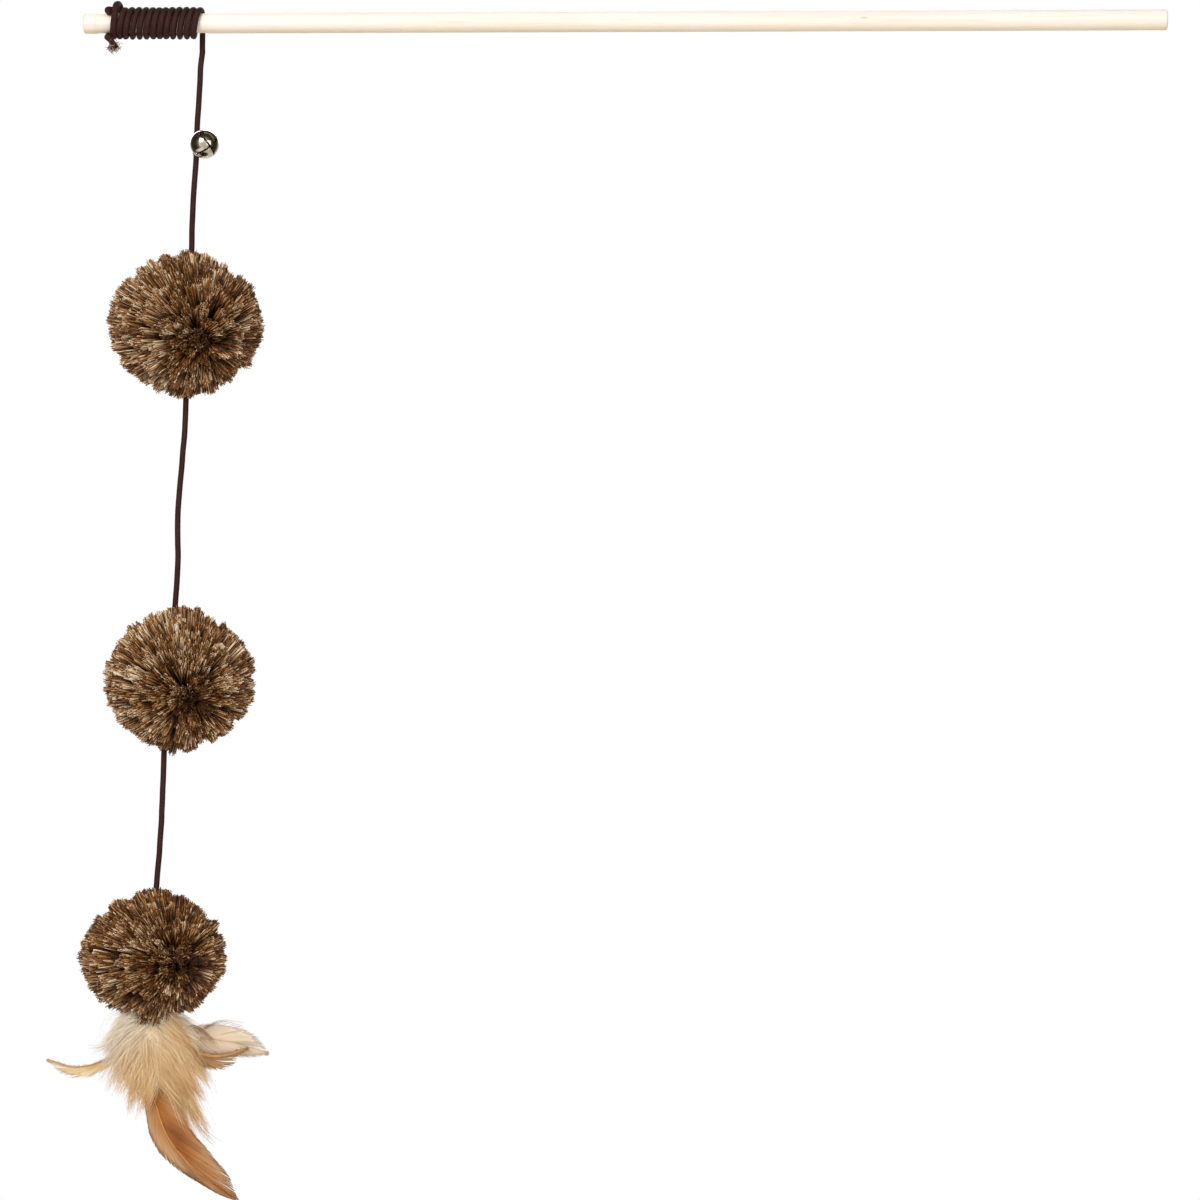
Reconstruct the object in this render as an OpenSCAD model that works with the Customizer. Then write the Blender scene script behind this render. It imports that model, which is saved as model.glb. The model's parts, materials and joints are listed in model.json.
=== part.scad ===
// Cat teaser wand: a wooden dowel with a cord wound on near its tip, and hanging from
// it a jingle bell, a row of cut-yarn pom-poms and a bunch of feathers.
// The origin is on the dowel's axis under the middle of the holding hand. The dowel lies
// along X with its tip towards -X, and the cord hangs along -Z.

/* [Rod] */
// Length of the dowel
rod_length = 470; // [400:5:600]
// Diameter of the dowel
rod_d = 9; // [7:0.5:12]
// Radius of the rounded edge at both ends
rod_edge = 0.9; // [0.3:0.1:2]
// From the handle end to the middle of the holding hand
grip_inset = 60; // [40:5:120]
// From the tip to the cord that hangs off the rod
hang_inset = 50.8; // [50:0.2:90]
// Depth of the shallow band that the tight winding presses into the wood
seat_depth = 0.2; // [0.2:0.05:0.4]
// Length of that band past the hanging cord, towards the handle
seat_margin = 3.3; // [3:0.1:6]

/* [Cord] */
// Diameter of the round elastic cord
cord_d = 2.5; // [2:0.1:2.8]
// Regular turns on the rod
winding_turns = 12; // [6:1:12]
// Gap between neighbouring turns
turn_gap = 0.45; // [0.42:0.01:0.6]
// Gap between the cord and the wood under it
wood_gap = 0.15; // [0.1:0.05:0.4]
// Sideways step, away from the turns, of the cord that comes off the winding to hang
exit_step = 0.3; // [0.2:0.1:1]
// Drop from the rod's axis to where the hanging cord starts to swing
swing_drop = 6.2; // [5.5:0.1:10]
// Length of the short cord link between the two swing axes under the rod
link_length = 6; // [5:0.5:12]
// Diameter of the fanned threads at the frayed end
fray_d = 8.4; // [4:0.2:10]
// Length of the frayed end
fray_length = 7; // [3:0.2:10]

/* [Bell] */
// Outside diameter of the bell
bell_d = 12.6; // [9:0.1:16]
// Wall of the bell
bell_wall = 0.45; // [0.3:0.05:0.8]
// Width of the crossed slots
slot_w = 0.8; // [0.5:0.1:1.2]
// Diameter of the round hole that ends each slot
slot_hole_d = 1.5; // [1:0.1:2.2]
// Wire diameter of the loop
loop_wire_d = 0.8; // [0.6:0.1:1.2]
// Gap between the loop and the cord through it
loop_gap = 0.5; // [0.4:0.1:1.2]
// Diameter of the loose steel pea
pea_d = 3; // [2:0.2:4]
// Diameter of the small knot in the cord that the loop rests on
bell_knot_d = 3.2; // [2.8:0.1:4]
// Drop from the top of the hanging cord to the loop
bell_drop = 38.5; // [30:0.5:60]

/* [Pom-poms] */
// Width of the largest pom-pom
pompom_w = 70.8; // [55:0.2:90]
// Height of the largest pom-pom
pompom_h = 63; // [50:0.2:80]
// Front to back of the largest pom-pom
pompom_t = 66; // [50:0.2:90]
// Height of the tufts that roughen the pile
tuft_h = 2.4; // [0.5:0.1:4]
// Depth of the dimple that the yarn radiates from
dimple_depth = 4; // [1:0.5:7]
// From the pile's surface in to where the cord bends
bend_inset = 2; // [1.5:0.1:4]
// The same at the bottom of the last pom-pom, where the feathers hang
feather_inset = 6; // [5:0.5:8]
// Diameter of a stopper knot in the cord
knot_d = 4.6; // [4:0.1:6]
// Outside diameter of the thread tie at a pom-pom's waist
tie_d = 6.8; // [6:0.1:9]
// Length of that tie along the cord
tie_length = 6; // [4:0.5:10]
// Diameter of the binding thread
thread_d = 1; // [0.6:0.1:1.4]

/* [Feathers] */
// Length that the feathers' tables are drawn for, from the bunch's pivot to the longest tip
bunch_length = 82; // [60:1:110]
// Thickness of a feather at its shaft
shaft_d = 0.9; // [0.6:0.1:1.1]
// Thickness of a feather at its edge
vane_t = 0.3; // [0.2:0.05:0.5]
// Thickness of a downy plume
down_t = 3; // [2:0.2:3.6]
// Front to back spacing of the layers in the bunch
layer_step = 2.1; // [1.8:0.1:3]
// Length of the thread binding round the quills
binding_length = 4; // [3:0.5:5]

/* [Hidden] */

// Fineness of true curves, of the cord's turns and of the tufted piles
round_fn = 96;
small_fn = 48;
turn_rings = 24;
turn_sides = 6;
cord_sides = 8;
pile_rows = 18;
pile_columns = 36;

// One overrun serves every cut, and one running gap every loose fit
over = 1;
run_gap = 0.3;
// Least gap that lets rounded cord ends turn past each other, and the same at the rod
bend_gap = 0.18;
swing_gap = 0.32;

rod_r = rod_d / 2;
cord_r = cord_d / 2;
tip_x = grip_inset - rod_length;
hang_x = tip_x + hang_inset;

// The winding: its radius is measured to the middle of the cord
pitch = cord_d + turn_gap;
seat_r = rod_r - seat_depth;
wind_r = seat_r + cord_r + wood_gap;
// Angles run round the rod from the top over the front; the hanging cord comes up at the back
back_angle = -90;
top_angle = 360 * winding_turns;
end_angle = top_angle + 215;
rise_share = 1.13;
knot_rise = cord_d * rise_share;
seat_left_turns = winding_turns + 1.3;
seat_left_margin = 2.4 * cord_d;
seat_left_x = hang_x - pitch * seat_left_turns - seat_left_margin;
seat_right_x = hang_x + seat_margin;

// Places of the knot's short strands: [share of a turn round the rod, share of a pitch left of
// the crossing turn's top, share of a cord's diameter off the winding's radius]
ear_shares = [
    [0.035, 0.02, 0.02], [0.033, 0.5, 0.03], [0.033, 0.95, 0.14], [0.045, 1.25, 0.2],
    [0.075, 1.38, 0.2], [0.106, 1.3, 0.14], [0.128, 1.02, 0.06], [0.135, 0.7, 0.02]];
tail_shares = [
    [-0.2, 0.95, 0], [-0.27, 1.22, 0], [-0.34, 1.46, 0], [-0.41, 1.58, 0], [-0.47, 1.6, 0.05],
    [-0.52, 1.5, 0.24], [-0.55, 1.3, 0.55], [-0.565, 1.05, 0.95], [-0.572, 0.78, 1.35]];

// Routes of the free cord, from each stretch's top: straight down with the slight lean and bow
// of a cord that has been kept wound up
upper_route = [
    [0, 0, 0], [-0.7, 0, -6], [-0.9, 0, -12], [-1.2, 0, -18], [-1.5, 0, -24], [-1.9, 0, -30],
    [-2.1, 0, -36], [-2.2, 0, -42], [-2.4, 0, -48], [-2.8, 0, -54], [-3.2, 0, -60], [-3.5, 0, -66],
    [-3.7, 0, -72], [-3.9, 0, -78], [-3.9, 0, -84], [-4.1, 0, -89.4]];
mid_route = [
    [0, 0, 0], [-0.1, 0, -6.4], [-0.3, 0, -13], [-0.6, 0, -19.6], [-1.2, 0, -26], [-1.6, 0, -32.4],
    [-2.2, 0, -39], [-2.7, 0, -45.6], [-3.1, 0, -52], [-3.2, 0, -58.4], [-3.1, 0, -65],
    [-2.9, 0, -71.6], [-3.1, 0, -78], [-3.4, 0, -84.4], [-3.8, 0, -90], [-4.1, 0, -95.4]];
low_route = [
    [0, 0, 0], [-0.1, 0, -4.6], [-0.2, 0, -9.2], [-0.3, 0, -13.8], [-0.5, 0, -18.4], [-0.6, 0, -23],
    [-0.8, 0, -27.6], [-0.9, 0, -32.2], [-1.2, 0, -36.8], [-1.5, 0, -41.4], [-1.7, 0, -46],
    [-2.1, 0, -50.6], [-2.5, 0, -55.2], [-2.8, 0, -59.8], [-3.1, 0, -63.9]];

// Each pom-pom: its share of the largest one's width, height and depth, its lean in degrees,
// how far its middle stands beside the cord as a share of the width, and the direction of the
// dimple where its yarn parts
size_shares = [[1, 1, 1], [0.97, 1, 0.98], [0.93, 0.91, 0.94]];
leans = [1.7, 4, 2.2];
side_shares = [-0.02, 0.063, -0.003];
poles = [[0.26, -0.94, -0.21], [0.15, -0.95, -0.28], [0.51, -0.855, -0.09]];
tuft_seeds = [11, 23, 37];

function pompom_box(k) = [
    pompom_w * size_shares[k][0], pompom_t * size_shares[k][2], pompom_h * size_shares[k][1]];
function bottom_inset(k) = k == 2 ? feather_inset : bend_inset;
function core_length(k) = pompom_box(k)[2] - bend_inset - bottom_inset(k);
function down_along(k) = [-sin(leans[k]), 0, -cos(leans[k])];
function last(list) = list[len(list) - 1];

// The chain of places where the cord bends, from the rod down
exit_x = wind_x(back_angle);
swing_at = [exit_x, wind_r, -swing_drop];
sway_at = swing_at - [0, 0, link_length];
top_1 = sway_at + last(upper_route);
bottom_1 = top_1 + core_length(0) * down_along(0);
top_2 = bottom_1 + last(mid_route);
bottom_2 = top_2 + core_length(1) * down_along(1);
top_3 = bottom_2 + last(low_route);
bunch_at = top_3 + core_length(2) * down_along(2);
tops = [top_1, top_2, top_3];
bottoms = [bottom_1, bottom_2, bunch_at];

// The bell: the share of the way down the hanging cord at which its loop sits
bell_r = bell_d / 2;
loop_r = cord_r + loop_gap + loop_wire_d / 2;
stem_gap = run_gap / 6;
loop_reach = bell_r + loop_r + loop_wire_d / 2 + stem_gap;
bell_tilt = 73.7;
bell_turn = 121.4;
slot_turn = 48;
// How far the slots run up the ball from the point where they cross
slot_angle = 66;
bell_pole = [
    -sin(bell_tilt) * cos(bell_turn), -sin(bell_tilt) * sin(bell_turn), -cos(bell_tilt)];
loop_at = sway_at + [along_x(upper_route, bell_drop), 0, -bell_drop];
bell_at = loop_at + loop_reach * bell_pole;
inner_r = bell_r - bell_wall;
stem_r = loop_wire_d * 0.6;
pea_rest = inner_r - pea_d / 2 - stem_gap;

// Vector helpers
function unit(v) = v / norm(v);
function tangents(pts) = [
    for (i = [0:len(pts) - 1])
        unit(pts[min(i + 1, len(pts) - 1)] - pts[max(i - 1, 0)])];
function square_to(u, t) = unit(u - (u * t) * t);
// One side vector for each point, carried along the line so that the tube doesn't twist
function carried(ts, start) = [
    for (i = 0, u = square_to(start, ts[0]);
        i < len(ts);
        i = i + 1, u = i < len(ts) ? square_to(u, ts[i]) : u) u];

// Adds the shrinking rings that round a cord's end, as [place, radius]
end_angles = [15, 45, 72];
function rounded(pts, r, at_start, at_end) = let (
    n = len(pts),
    ts = tangents(pts),
    body = [for (i = [at_start ? 1 : 0 : n - (at_end ? 2 : 1)]) [pts[i], r]],
    head = at_start ? [
        for (a = end_angles) [pts[0] + ts[0] * r * (1 - cos(a)), r * sin(a)]] : [],
    foot = at_end ? [
        for (i = [len(end_angles) - 1 : -1 : 0])
            [pts[n - 1] - ts[n - 1] * r * (1 - cos(end_angles[i])), r * sin(end_angles[i])]] : []
    ) concat(head, body, foot);

// Faces over n rings of m points each, closed at both ends
function loft_faces(n, m) = concat(
    [for (i = [0:n - 2], s = [0:m - 1], half = [0, 1])
        let (a = i * m + s, b = i * m + (s + 1) % m, c = b + m, d = a + m)
        half == 0 ? [a, d, c] : [a, c, b]],
    [for (s = [1:m - 2]) [0, s, s + 1]],
    [for (s = [1:m - 2]) [(n - 1) * m, (n - 1) * m + s + 1, (n - 1) * m + s]]);

// A closed tube through rings of [place, radius]
module tube(rings, sides, side_start) {
    pts = [for (ring = rings) ring[0]];
    ts = tangents(pts);
    us = carried(ts, side_start);
    n = len(rings);
    wall = [
        for (i = [0:n - 1], s = [0:sides - 1])
            let (a = 360 * s / sides)
            pts[i] + rings[i][1] * (cos(a) * us[i] + sin(a) * cross(ts[i], us[i]))];
    polyhedron(points = wall, faces = loft_faces(n, sides), convexity = 10);
}

// A place round the rod: angle from the top over the front, place along X, radius
function round_rod(angle, x, r) = [x, -r * sin(angle), r * cos(angle)];

// The winding's line: it leaves the hanging cord, takes its turns and climbs the knot at the end
function wind_x(angle) =
    hang_x - pitch * (angle - back_angle) / 360
    + exit_step * max(0, (90 - angle) / 180);
function wind_lift(angle) = let (off = abs(angle - top_angle), flat = 25)
    off < flat ? knot_rise : off < 100 ? knot_rise * pow(cos((off - flat) * 1.2), 2) : 0;
wind_step = 360 / turn_rings;
winding_line = concat(
    [swing_at + [0, 0, swing_gap], swing_at + [0, 0, swing_gap + cord_d / 2],
        [exit_x, wind_r, -cord_d / 2]],
    [for (a = [back_angle : wind_step : end_angle])
        round_rod(a, wind_x(a), wind_r + wind_lift(a))]);
crossing_x = wind_x(top_angle);

// Least gap between the winding's own turns, found on its points
turn_gaps = [
    for (i = [0:len(winding_line) - 1])
        for (j = [i + 12:min(i + turn_rings + 12, len(winding_line) - 1)])
            norm(winding_line[i] - winding_line[j]) - cord_d];
echo(least_gap_between_turns = min(turn_gaps));

function strand(shares) = [
    for (s = shares)
        round_rod(360 * s[0], crossing_x - s[1] * pitch, wind_r + s[2] * cord_d)];
// A smooth line through a strand's points
function between(p, i, t) = let (
    n = len(p) - 1, a = p[max(i - 1, 0)], b = p[i], c = p[i + 1], d = p[min(i + 2, n)]
    ) 0.5 * (2 * b + (c - a) * t + (2 * a - 5 * b + 4 * c - d) * t * t
        + (3 * b - a - 3 * c + d) * t * t * t);
function smooth(p, steps) = concat(
    [for (i = [0:len(p) - 2], s = [0:steps - 1]) between(p, i, s / steps)], [last(p)]);
ear_line = smooth(strand(ear_shares), 2);
tail_line = smooth(strand(tail_shares), 2);

module rod() {
    color([0.93, 0.84, 0.68])
        translate([tip_x, 0, 0]) rotate([0, 90, 0]) difference() {
            rotate_extrude($fn = round_fn) rod_profile();
            translate([0, 0, seat_left_x - tip_x]) difference() {
                cylinder(r = rod_r + over, h = seat_right_x - seat_left_x, $fn = round_fn);
                translate([0, 0, -over])
                    cylinder(r = seat_r, h = seat_right_x - seat_left_x + 2 * over, $fn = round_fn);
            }
        }
}

// Half the dowel's outline, with its edges rounded
module rod_profile() {
    square([rod_r - rod_edge, rod_length]);
    translate([0, rod_edge]) square([rod_r, rod_length - 2 * rod_edge]);
    for (y = [rod_edge, rod_length - rod_edge])
        translate([rod_r - rod_edge, y]) circle(r = rod_edge, $fn = small_fn);
}

module winding() {
    color([0.26, 0.15, 0.13]) tube(rounded(winding_line, cord_r, true, true), turn_sides, [1, 0, 0]);
}

module knot_ear() {
    color([0.26, 0.15, 0.13]) tube(rounded(ear_line, cord_r, true, true), turn_sides, [0, 0, 1]);
}

module cord_tail() {
    color([0.26, 0.15, 0.13]) tube(rounded(tail_line, cord_r, true, false), turn_sides, [1, 0, 0]);
}

// The frayed end: a fluted cone of loose threads, standing on the cut face of the tail. Each row
// has shares of the length, of the width and of the flutes' depth
fray_flutes = 9;
fray_depth_share = 0.3;
fray_shares = [[0, 0.29, 0], [0.1, 0.42, 0.4], [0.3, 0.8, 1], [0.58, 1, 1], [0.84, 0.85, 1], [1, 0.4, 0]];
module frayed_end() {
    from = last(tail_line);
    along = last(tangents(tail_line));
    side = square_to([1, 0, 0], along);
    sides = fray_flutes * 2;
    points = [
        for (row = fray_shares, s = [0:sides - 1])
            let (
                a = 360 * s / sides,
                r = fray_d / 2 * row[1] * (s % 2 == 0 ? 1 : 1 - fray_depth_share * row[2])
            )
            from + along * fray_length * row[0]
            + r * (cos(a) * side + sin(a) * cross(along, side))];
    color([0.3, 0.18, 0.15])
        polyhedron(points = points, faces = loft_faces(len(fray_shares), sides), convexity = 8);
}

// A free stretch of cord from one bend to the next, its rounded ends clear of both
module free_cord(route, at, top_gap, bottom_gap) {
    n = len(route);
    ts = tangents(route);
    line = [
        for (i = [0:n - 1])
            at + route[i] + (i == 0 ? ts[0] * top_gap : i == n - 1 ? -ts[n - 1] * bottom_gap : [0, 0, 0])];
    color([0.26, 0.15, 0.13]) tube(rounded(line, cord_r, true, true), cord_sides, [1, 0, 0]);
}

// The upper stretch has the small knot that holds the bell's loop up
loop_foot = loop_r * cos(bell_tilt) + loop_wire_d / 2;
knot_drop = bell_drop + loop_foot + bell_knot_d / 2 + run_gap;
function along_x(route, drop) = lookup(drop, [for (p = route) [-p[2], p[0]]]);
module upper_cord() {
    free_cord(upper_route, sway_at, bend_gap, bend_gap);
    color([0.26, 0.15, 0.13]) translate(sway_at + [along_x(upper_route, knot_drop), 0, -knot_drop])
        sphere(d = bell_knot_d, $fn = small_fn);
}

module cord_link() {
    line = [
        swing_at - [0, 0, swing_gap],
        swing_at - [0, 0, link_length / 2],
        sway_at + [0, 0, bend_gap]];
    color([0.26, 0.15, 0.13]) tube(rounded(line, cord_r, true, true), cord_sides, [1, 0, 0]);
}

// Puts children, drawn with the crown at +Z, in the bell's place on the cord
module in_bell() {
    translate(bell_at) rotate([0, bell_tilt, bell_turn]) children();
}

module bell_shell() {
    slot_top = -bell_r * cos(slot_angle);
    color([0.72, 0.68, 0.6]) in_bell() difference() {
        sphere(r = bell_r, $fn = round_fn);
        sphere(r = inner_r, $fn = round_fn);
        cylinder(r = stem_r + stem_gap, h = bell_r + over, $fn = small_fn);
        rotate([0, 0, slot_turn]) for (turn = [0, 90]) rotate([0, 0, turn]) {
            translate([-bell_r - over, -slot_w / 2, -bell_r - over])
                cube([bell_d + 2 * over, slot_w, bell_r + over + slot_top]);
            translate([0, 0, slot_top]) rotate([0, 90, 0])
                cylinder(d = slot_hole_d, h = bell_d + 2 * over, center = true, $fn = small_fn);
        }
    }
}

// The wire loop, with a stem through the crown and a flattened head inside it
module bell_loop() {
    head_r = stem_r * 2;
    head_t = bell_wall;
    head_z = inner_r - run_gap - head_t;
    color([0.72, 0.68, 0.6]) in_bell() {
        translate([0, 0, loop_reach]) rotate([0, 90, 0]) rotate_extrude($fn = round_fn)
            translate([loop_r, 0]) circle(d = loop_wire_d, $fn = small_fn);
        translate([0, 0, head_z])
            cylinder(r = stem_r, h = bell_r + loop_wire_d / 2 - head_z, $fn = small_fn);
        translate([0, 0, head_z]) cylinder(r = head_r, h = head_t, $fn = small_fn);
    }
}

module bell_pea() {
    color([0.6, 0.6, 0.6]) translate(bell_at - [0, 0, pea_rest]) sphere(d = pea_d, $fn = small_fn);
}

// Puts children, drawn with the cord along Z and the pile's middle at the origin, in place k
module in_pompom(k) {
    translate(tops[k] + (pompom_box(k)[2] / 2 - bend_inset) * down_along(k))
        rotate([0, leans[k], 0]) children();
}

// A ball whose cut yarn stands up unevenly, in rings round a dimple that faces along pole
function dimple(a) = dimple_depth * exp(-pow(a / 16, 2));
module tufted_ball(box, pole, seed) {
    rows = pile_rows;
    columns = pile_columns;
    up = unit(pole);
    u = square_to([1, 0, 0], up);
    v = cross(up, u);
    heights = rands(0, 1, rows * columns, seed);
    function spot(d, drop) = [
        (box[0] / 2 - drop) * d[0], (box[1] / 2 - drop) * d[1], (box[2] / 2 - drop) * d[2]];
    rim = [
        for (i = [1:rows - 1], s = [0:columns - 1])
            let (a = 180 * i / rows, b = 360 * (s + (i % 2) / 2) / columns)
            spot(cos(a) * up + sin(a) * (cos(b) * u + sin(b) * v),
                dimple(a) + tuft_h * heights[i * columns + s] * sin(a))];
    points = concat([spot(up, dimple(0))], rim, [spot(-up, 0)]);
    foot = len(points) - 1;
    function at(i, s) = 1 + i * columns + (s + columns) % columns;
    crown = [for (s = [0:columns - 1]) [0, at(0, s + 1), at(0, s)]];
    sole = [for (s = [0:columns - 1]) [foot, at(rows - 2, s), at(rows - 2, s + 1)]];
    bands = [
        for (i = [0:rows - 3], s = [0:columns - 1], half = [0, 1])
            i % 2 == 0
                ? (half == 0 ? [at(i, s), at(i, s + 1), at(i + 1, s + 1)]
                    : [at(i, s), at(i + 1, s + 1), at(i + 1, s)])
                : (half == 0 ? [at(i, s), at(i, s + 1), at(i + 1, s)]
                    : [at(i, s + 1), at(i + 1, s + 1), at(i + 1, s)])];
    polyhedron(points = points, faces = concat(crown, bands, sole), convexity = 6);
}

// The countersunk mouth that lets the cord swing where it enters the pile
module mouth(inset) {
    reach = inset + over + tuft_h;
    foot = run_gap;
    narrow = cord_r * sqrt(2) + run_gap;
    translate([0, 0, -foot])
        cylinder(r1 = narrow - foot / 2, r2 = narrow + reach, h = reach + foot, $fn = small_fn);
}

// The hollow at the last pom-pom's foot, where the bound quills swing
quill_spread = 22;
module bunch_mouth() {
    reach = feather_inset + over + tuft_h;
    sphere(r = norm([binding_outer_r, binding_top + binding_length]) + run_gap, $fn = small_fn);
    cylinder(r1 = over, r2 = over + reach * tan(bunch_swing + quill_spread), h = reach,
        $fn = small_fn);
}

knot_r = knot_d / 2;
knot_place = tie_length / 2 + knot_r + run_gap;
pocket_half = knot_place + knot_r + run_gap;
bore_r = cord_r + run_gap;

module pompom_pile(k) {
    box = pompom_box(k);
    color([0.5, 0.35, 0.2]) in_pompom(k) difference() {
        translate([side_shares[k] * pompom_w, 0, 0]) tufted_ball(box, poles[k], tuft_seeds[k]);
        cylinder(r = bore_r, h = box[2] + 2 * over, center = true, $fn = small_fn);
        cylinder(r = tie_d / 2 + run_gap, h = 2 * pocket_half, center = true, $fn = small_fn);
        translate([0, 0, box[2] / 2 - bend_inset]) mouth(bend_inset);
        translate([0, 0, bottom_inset(k) - box[2] / 2]) mirror([0, 0, 1])
            if (k == 2) bunch_mouth(); else mouth(bend_inset);
    }
}

// Turns of strong thread round the yarn's waist, as one ribbed sleeve
module pompom_tie(k) {
    ribs = floor(tie_length / thread_d);
    rib_step = tie_length / ribs;
    inside = cord_r + run_gap;
    color([0.35, 0.22, 0.14]) in_pompom(k) rotate_extrude($fn = small_fn) {
        translate([inside, -tie_length / 2])
            square([tie_d / 2 - inside - thread_d / 2, tie_length]);
        for (i = [0:ribs - 1])
            translate([tie_d / 2 - thread_d / 2, -tie_length / 2 + rib_step * (i + 0.5)])
                circle(d = min(thread_d, rib_step), $fn = small_fn);
    }
}

// The run of cord inside a pom-pom, with a stopper knot each side of the tie
module pompom_cord(k) {
    half = pompom_box(k)[2] / 2;
    top = half - bend_inset - bend_gap - cord_r;
    bottom = bottom_inset(k) + bend_gap + cord_r - half;
    color([0.26, 0.15, 0.13]) in_pompom(k) {
        translate([0, 0, bottom]) cylinder(r = cord_r, h = top - bottom, $fn = small_fn);
        for (z = [top, bottom]) translate([0, 0, z]) sphere(r = cord_r, $fn = small_fn);
        for (side = [-1, 1]) translate([0, 0, side * knot_place]) sphere(r = knot_r, $fn = small_fn);
    }
}

// The quills stand in a ring round the cord's end, inside the binding
quills = 7;
quill_ring_r = cord_r + shaft_d / 2 + run_gap;
function quill_at(slot) = let (a = 270 + 360 * slot / quills)
    [quill_ring_r * cos(a), quill_ring_r * sin(a)];
binding_inner_r = quill_ring_r + shaft_d / 2 + run_gap / 2;
binding_outer_r = binding_inner_r + thread_d;
binding_top = bend_gap + cord_r;
// How far the feathers swing each way
bunch_swing = 35;

module cord_end() {
    color([0.26, 0.15, 0.13]) translate(bunch_at - [0, 0, bend_gap + cord_r]) {
        sphere(r = cord_r, $fn = small_fn);
        translate([0, 0, -binding_length]) cylinder(r = cord_r, h = binding_length, $fn = small_fn);
    }
}

module quill_binding() {
    ribs = floor(binding_length / thread_d);
    rib_step = binding_length / ribs;
    color([0.45, 0.32, 0.2]) translate(bunch_at - [0, 0, binding_top + binding_length])
        rotate_extrude($fn = small_fn) {
            translate([binding_inner_r, 0]) square([thread_d / 2, binding_length]);
            for (i = [0:ribs - 1])
                translate([binding_inner_r + thread_d / 2, rib_step * (i + 0.5)])
                    circle(d = min(thread_d, rib_step) * 0.98, $fn = small_fn);
        }
}

// A feather as one solid: a shaft that swells at its middle, with a thin vane each side.
// Rows of a table, as shares of the bunch's length: [place across, place down, width on the
// side that is right when the feather points down, width on the other side]
function eased(share) = min(1, share * 4.5);
module feather(slot, layer, table, middle_t) {
    q = quill_at(slot);
    start = [
        [q[0], q[1], -binding_top - shaft_d],
        [q[0], q[1], -binding_top - binding_length - shaft_d]];
    rest = [
        for (row = table)
            [row[0] * bunch_length, layer * layer_step * eased(row[1]), -row[1] * bunch_length]];
    line = concat(start, rest);
    quill = [shaft_d / 2, shaft_d / 2];
    rights = concat(quill, [for (row = table) max(row[2] * bunch_length, shaft_d / 2)]);
    lefts = concat(quill, [for (row = table) max(row[3] * bunch_length, shaft_d / 2)]);
    thick = concat(2 * quill, [for (row = table) max(shaft_d, middle_t * eased(row[1]))]);
    ts = tangents(line);
    outline = [
        for (i = [0:len(line) - 1])
            let (
                side = unit(cross(ts[i], [0, 1, 0])),
                out = cross(side, ts[i]),
                edge = min(vane_t, thick[i]) / 2
            )
            each [
                line[i] + side * rights[i] - out * edge,
                line[i] - out * thick[i] / 2,
                line[i] - side * lefts[i] - out * edge,
                line[i] - side * lefts[i] + out * edge,
                line[i] + out * thick[i] / 2,
                line[i] + side * rights[i] + out * edge]];
    translate(bunch_at) polyhedron(points = outline, faces = loft_faces(len(line), 6), convexity = 6);
}

// The long brown feather that curves down and to the right
main_shares = [
    [0.003, 0.22, 0.02, 0.02], [0.008, 0.41, 0.05, 0.04], [0.04, 0.51, 0.08, 0.064],
    [0.077, 0.62, 0.115, 0.085], [0.13, 0.715, 0.122, 0.09], [0.209, 0.804, 0.122, 0.08],
    [0.299, 0.883, 0.11, 0.064], [0.389, 0.952, 0.08, 0.042], [0.463, 1, 0.006, 0.006]];
// The curled tan feather on the right, its lower edge wide
tan_shares = [
    [0.077, 0.13, 0.012, 0.015], [0.146, 0.184, 0.02, 0.03], [0.209, 0.221, 0.02, 0.045],
    [0.289, 0.25, 0.02, 0.06], [0.368, 0.256, 0.018, 0.055], [0.448, 0.237, 0.014, 0.025],
    [0.516, 0.206, 0.004, 0.004]];
// The broad pale feather on the right
pale_shares = [
    [0.093, 0.115, 0.012, 0.012], [0.156, 0.137, 0.035, 0.035], [0.236, 0.153, 0.07, 0.07],
    [0.342, 0.163, 0.088, 0.088], [0.448, 0.179, 0.088, 0.08], [0.538, 0.206, 0.07, 0.055],
    [0.59, 0.221, 0.035, 0.03], [0.622, 0.235, 0.005, 0.005]];
// The slim feather on the left, its shaft along the upper edge
left_shares = [
    [-0.056, 0.142, 0.01, 0.01], [-0.119, 0.205, 0.03, 0.012], [-0.188, 0.248, 0.035, 0.012],
    [-0.267, 0.285, 0.042, 0.012], [-0.331, 0.306, 0.05, 0.012], [-0.4, 0.311, 0.05, 0.012],
    [-0.469, 0.296, 0.045, 0.012], [-0.511, 0.282, 0.025, 0.01], [-0.543, 0.272, 0.004, 0.004]];
// The downy plumes: front, back, and the pale one on the left
down_front_shares = [
    [0, 0.115, 0.09, 0.09], [0, 0.195, 0.19, 0.2], [0, 0.274, 0.217, 0.233],
    [0, 0.354, 0.244, 0.238], [0.005, 0.433, 0.24, 0.18], [0.01, 0.502, 0.19, 0.106],
    [0.02, 0.555, 0.11, 0.042], [0.03, 0.592, 0.01, 0.01]];
down_back_shares = [
    [0.008, 0.115, 0.03, 0.03], [0.018, 0.165, 0.1, 0.09], [0.03, 0.221, 0.14, 0.13],
    [0.061, 0.327, 0.15, 0.15], [0.103, 0.433, 0.15, 0.15], [0.156, 0.529, 0.12, 0.12],
    [0.204, 0.613, 0.08, 0.07], [0.241, 0.688, 0.01, 0.01]];
down_left_shares = [
    [-0.024, 0.11, 0.02, 0.03], [-0.07, 0.137, 0.06, 0.05], [-0.114, 0.174, 0.1, 0.07],
    [-0.156, 0.221, 0.095, 0.07], [-0.193, 0.269, 0.06, 0.045], [-0.225, 0.311, 0.01, 0.01]];

module main_feather() {
    color([0.65, 0.38, 0.18]) feather(1, -1.4, main_shares, shaft_d);
}

module tan_feather() {
    color([0.68, 0.45, 0.25]) feather(2, -0.4, tan_shares, shaft_d);
}

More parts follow.
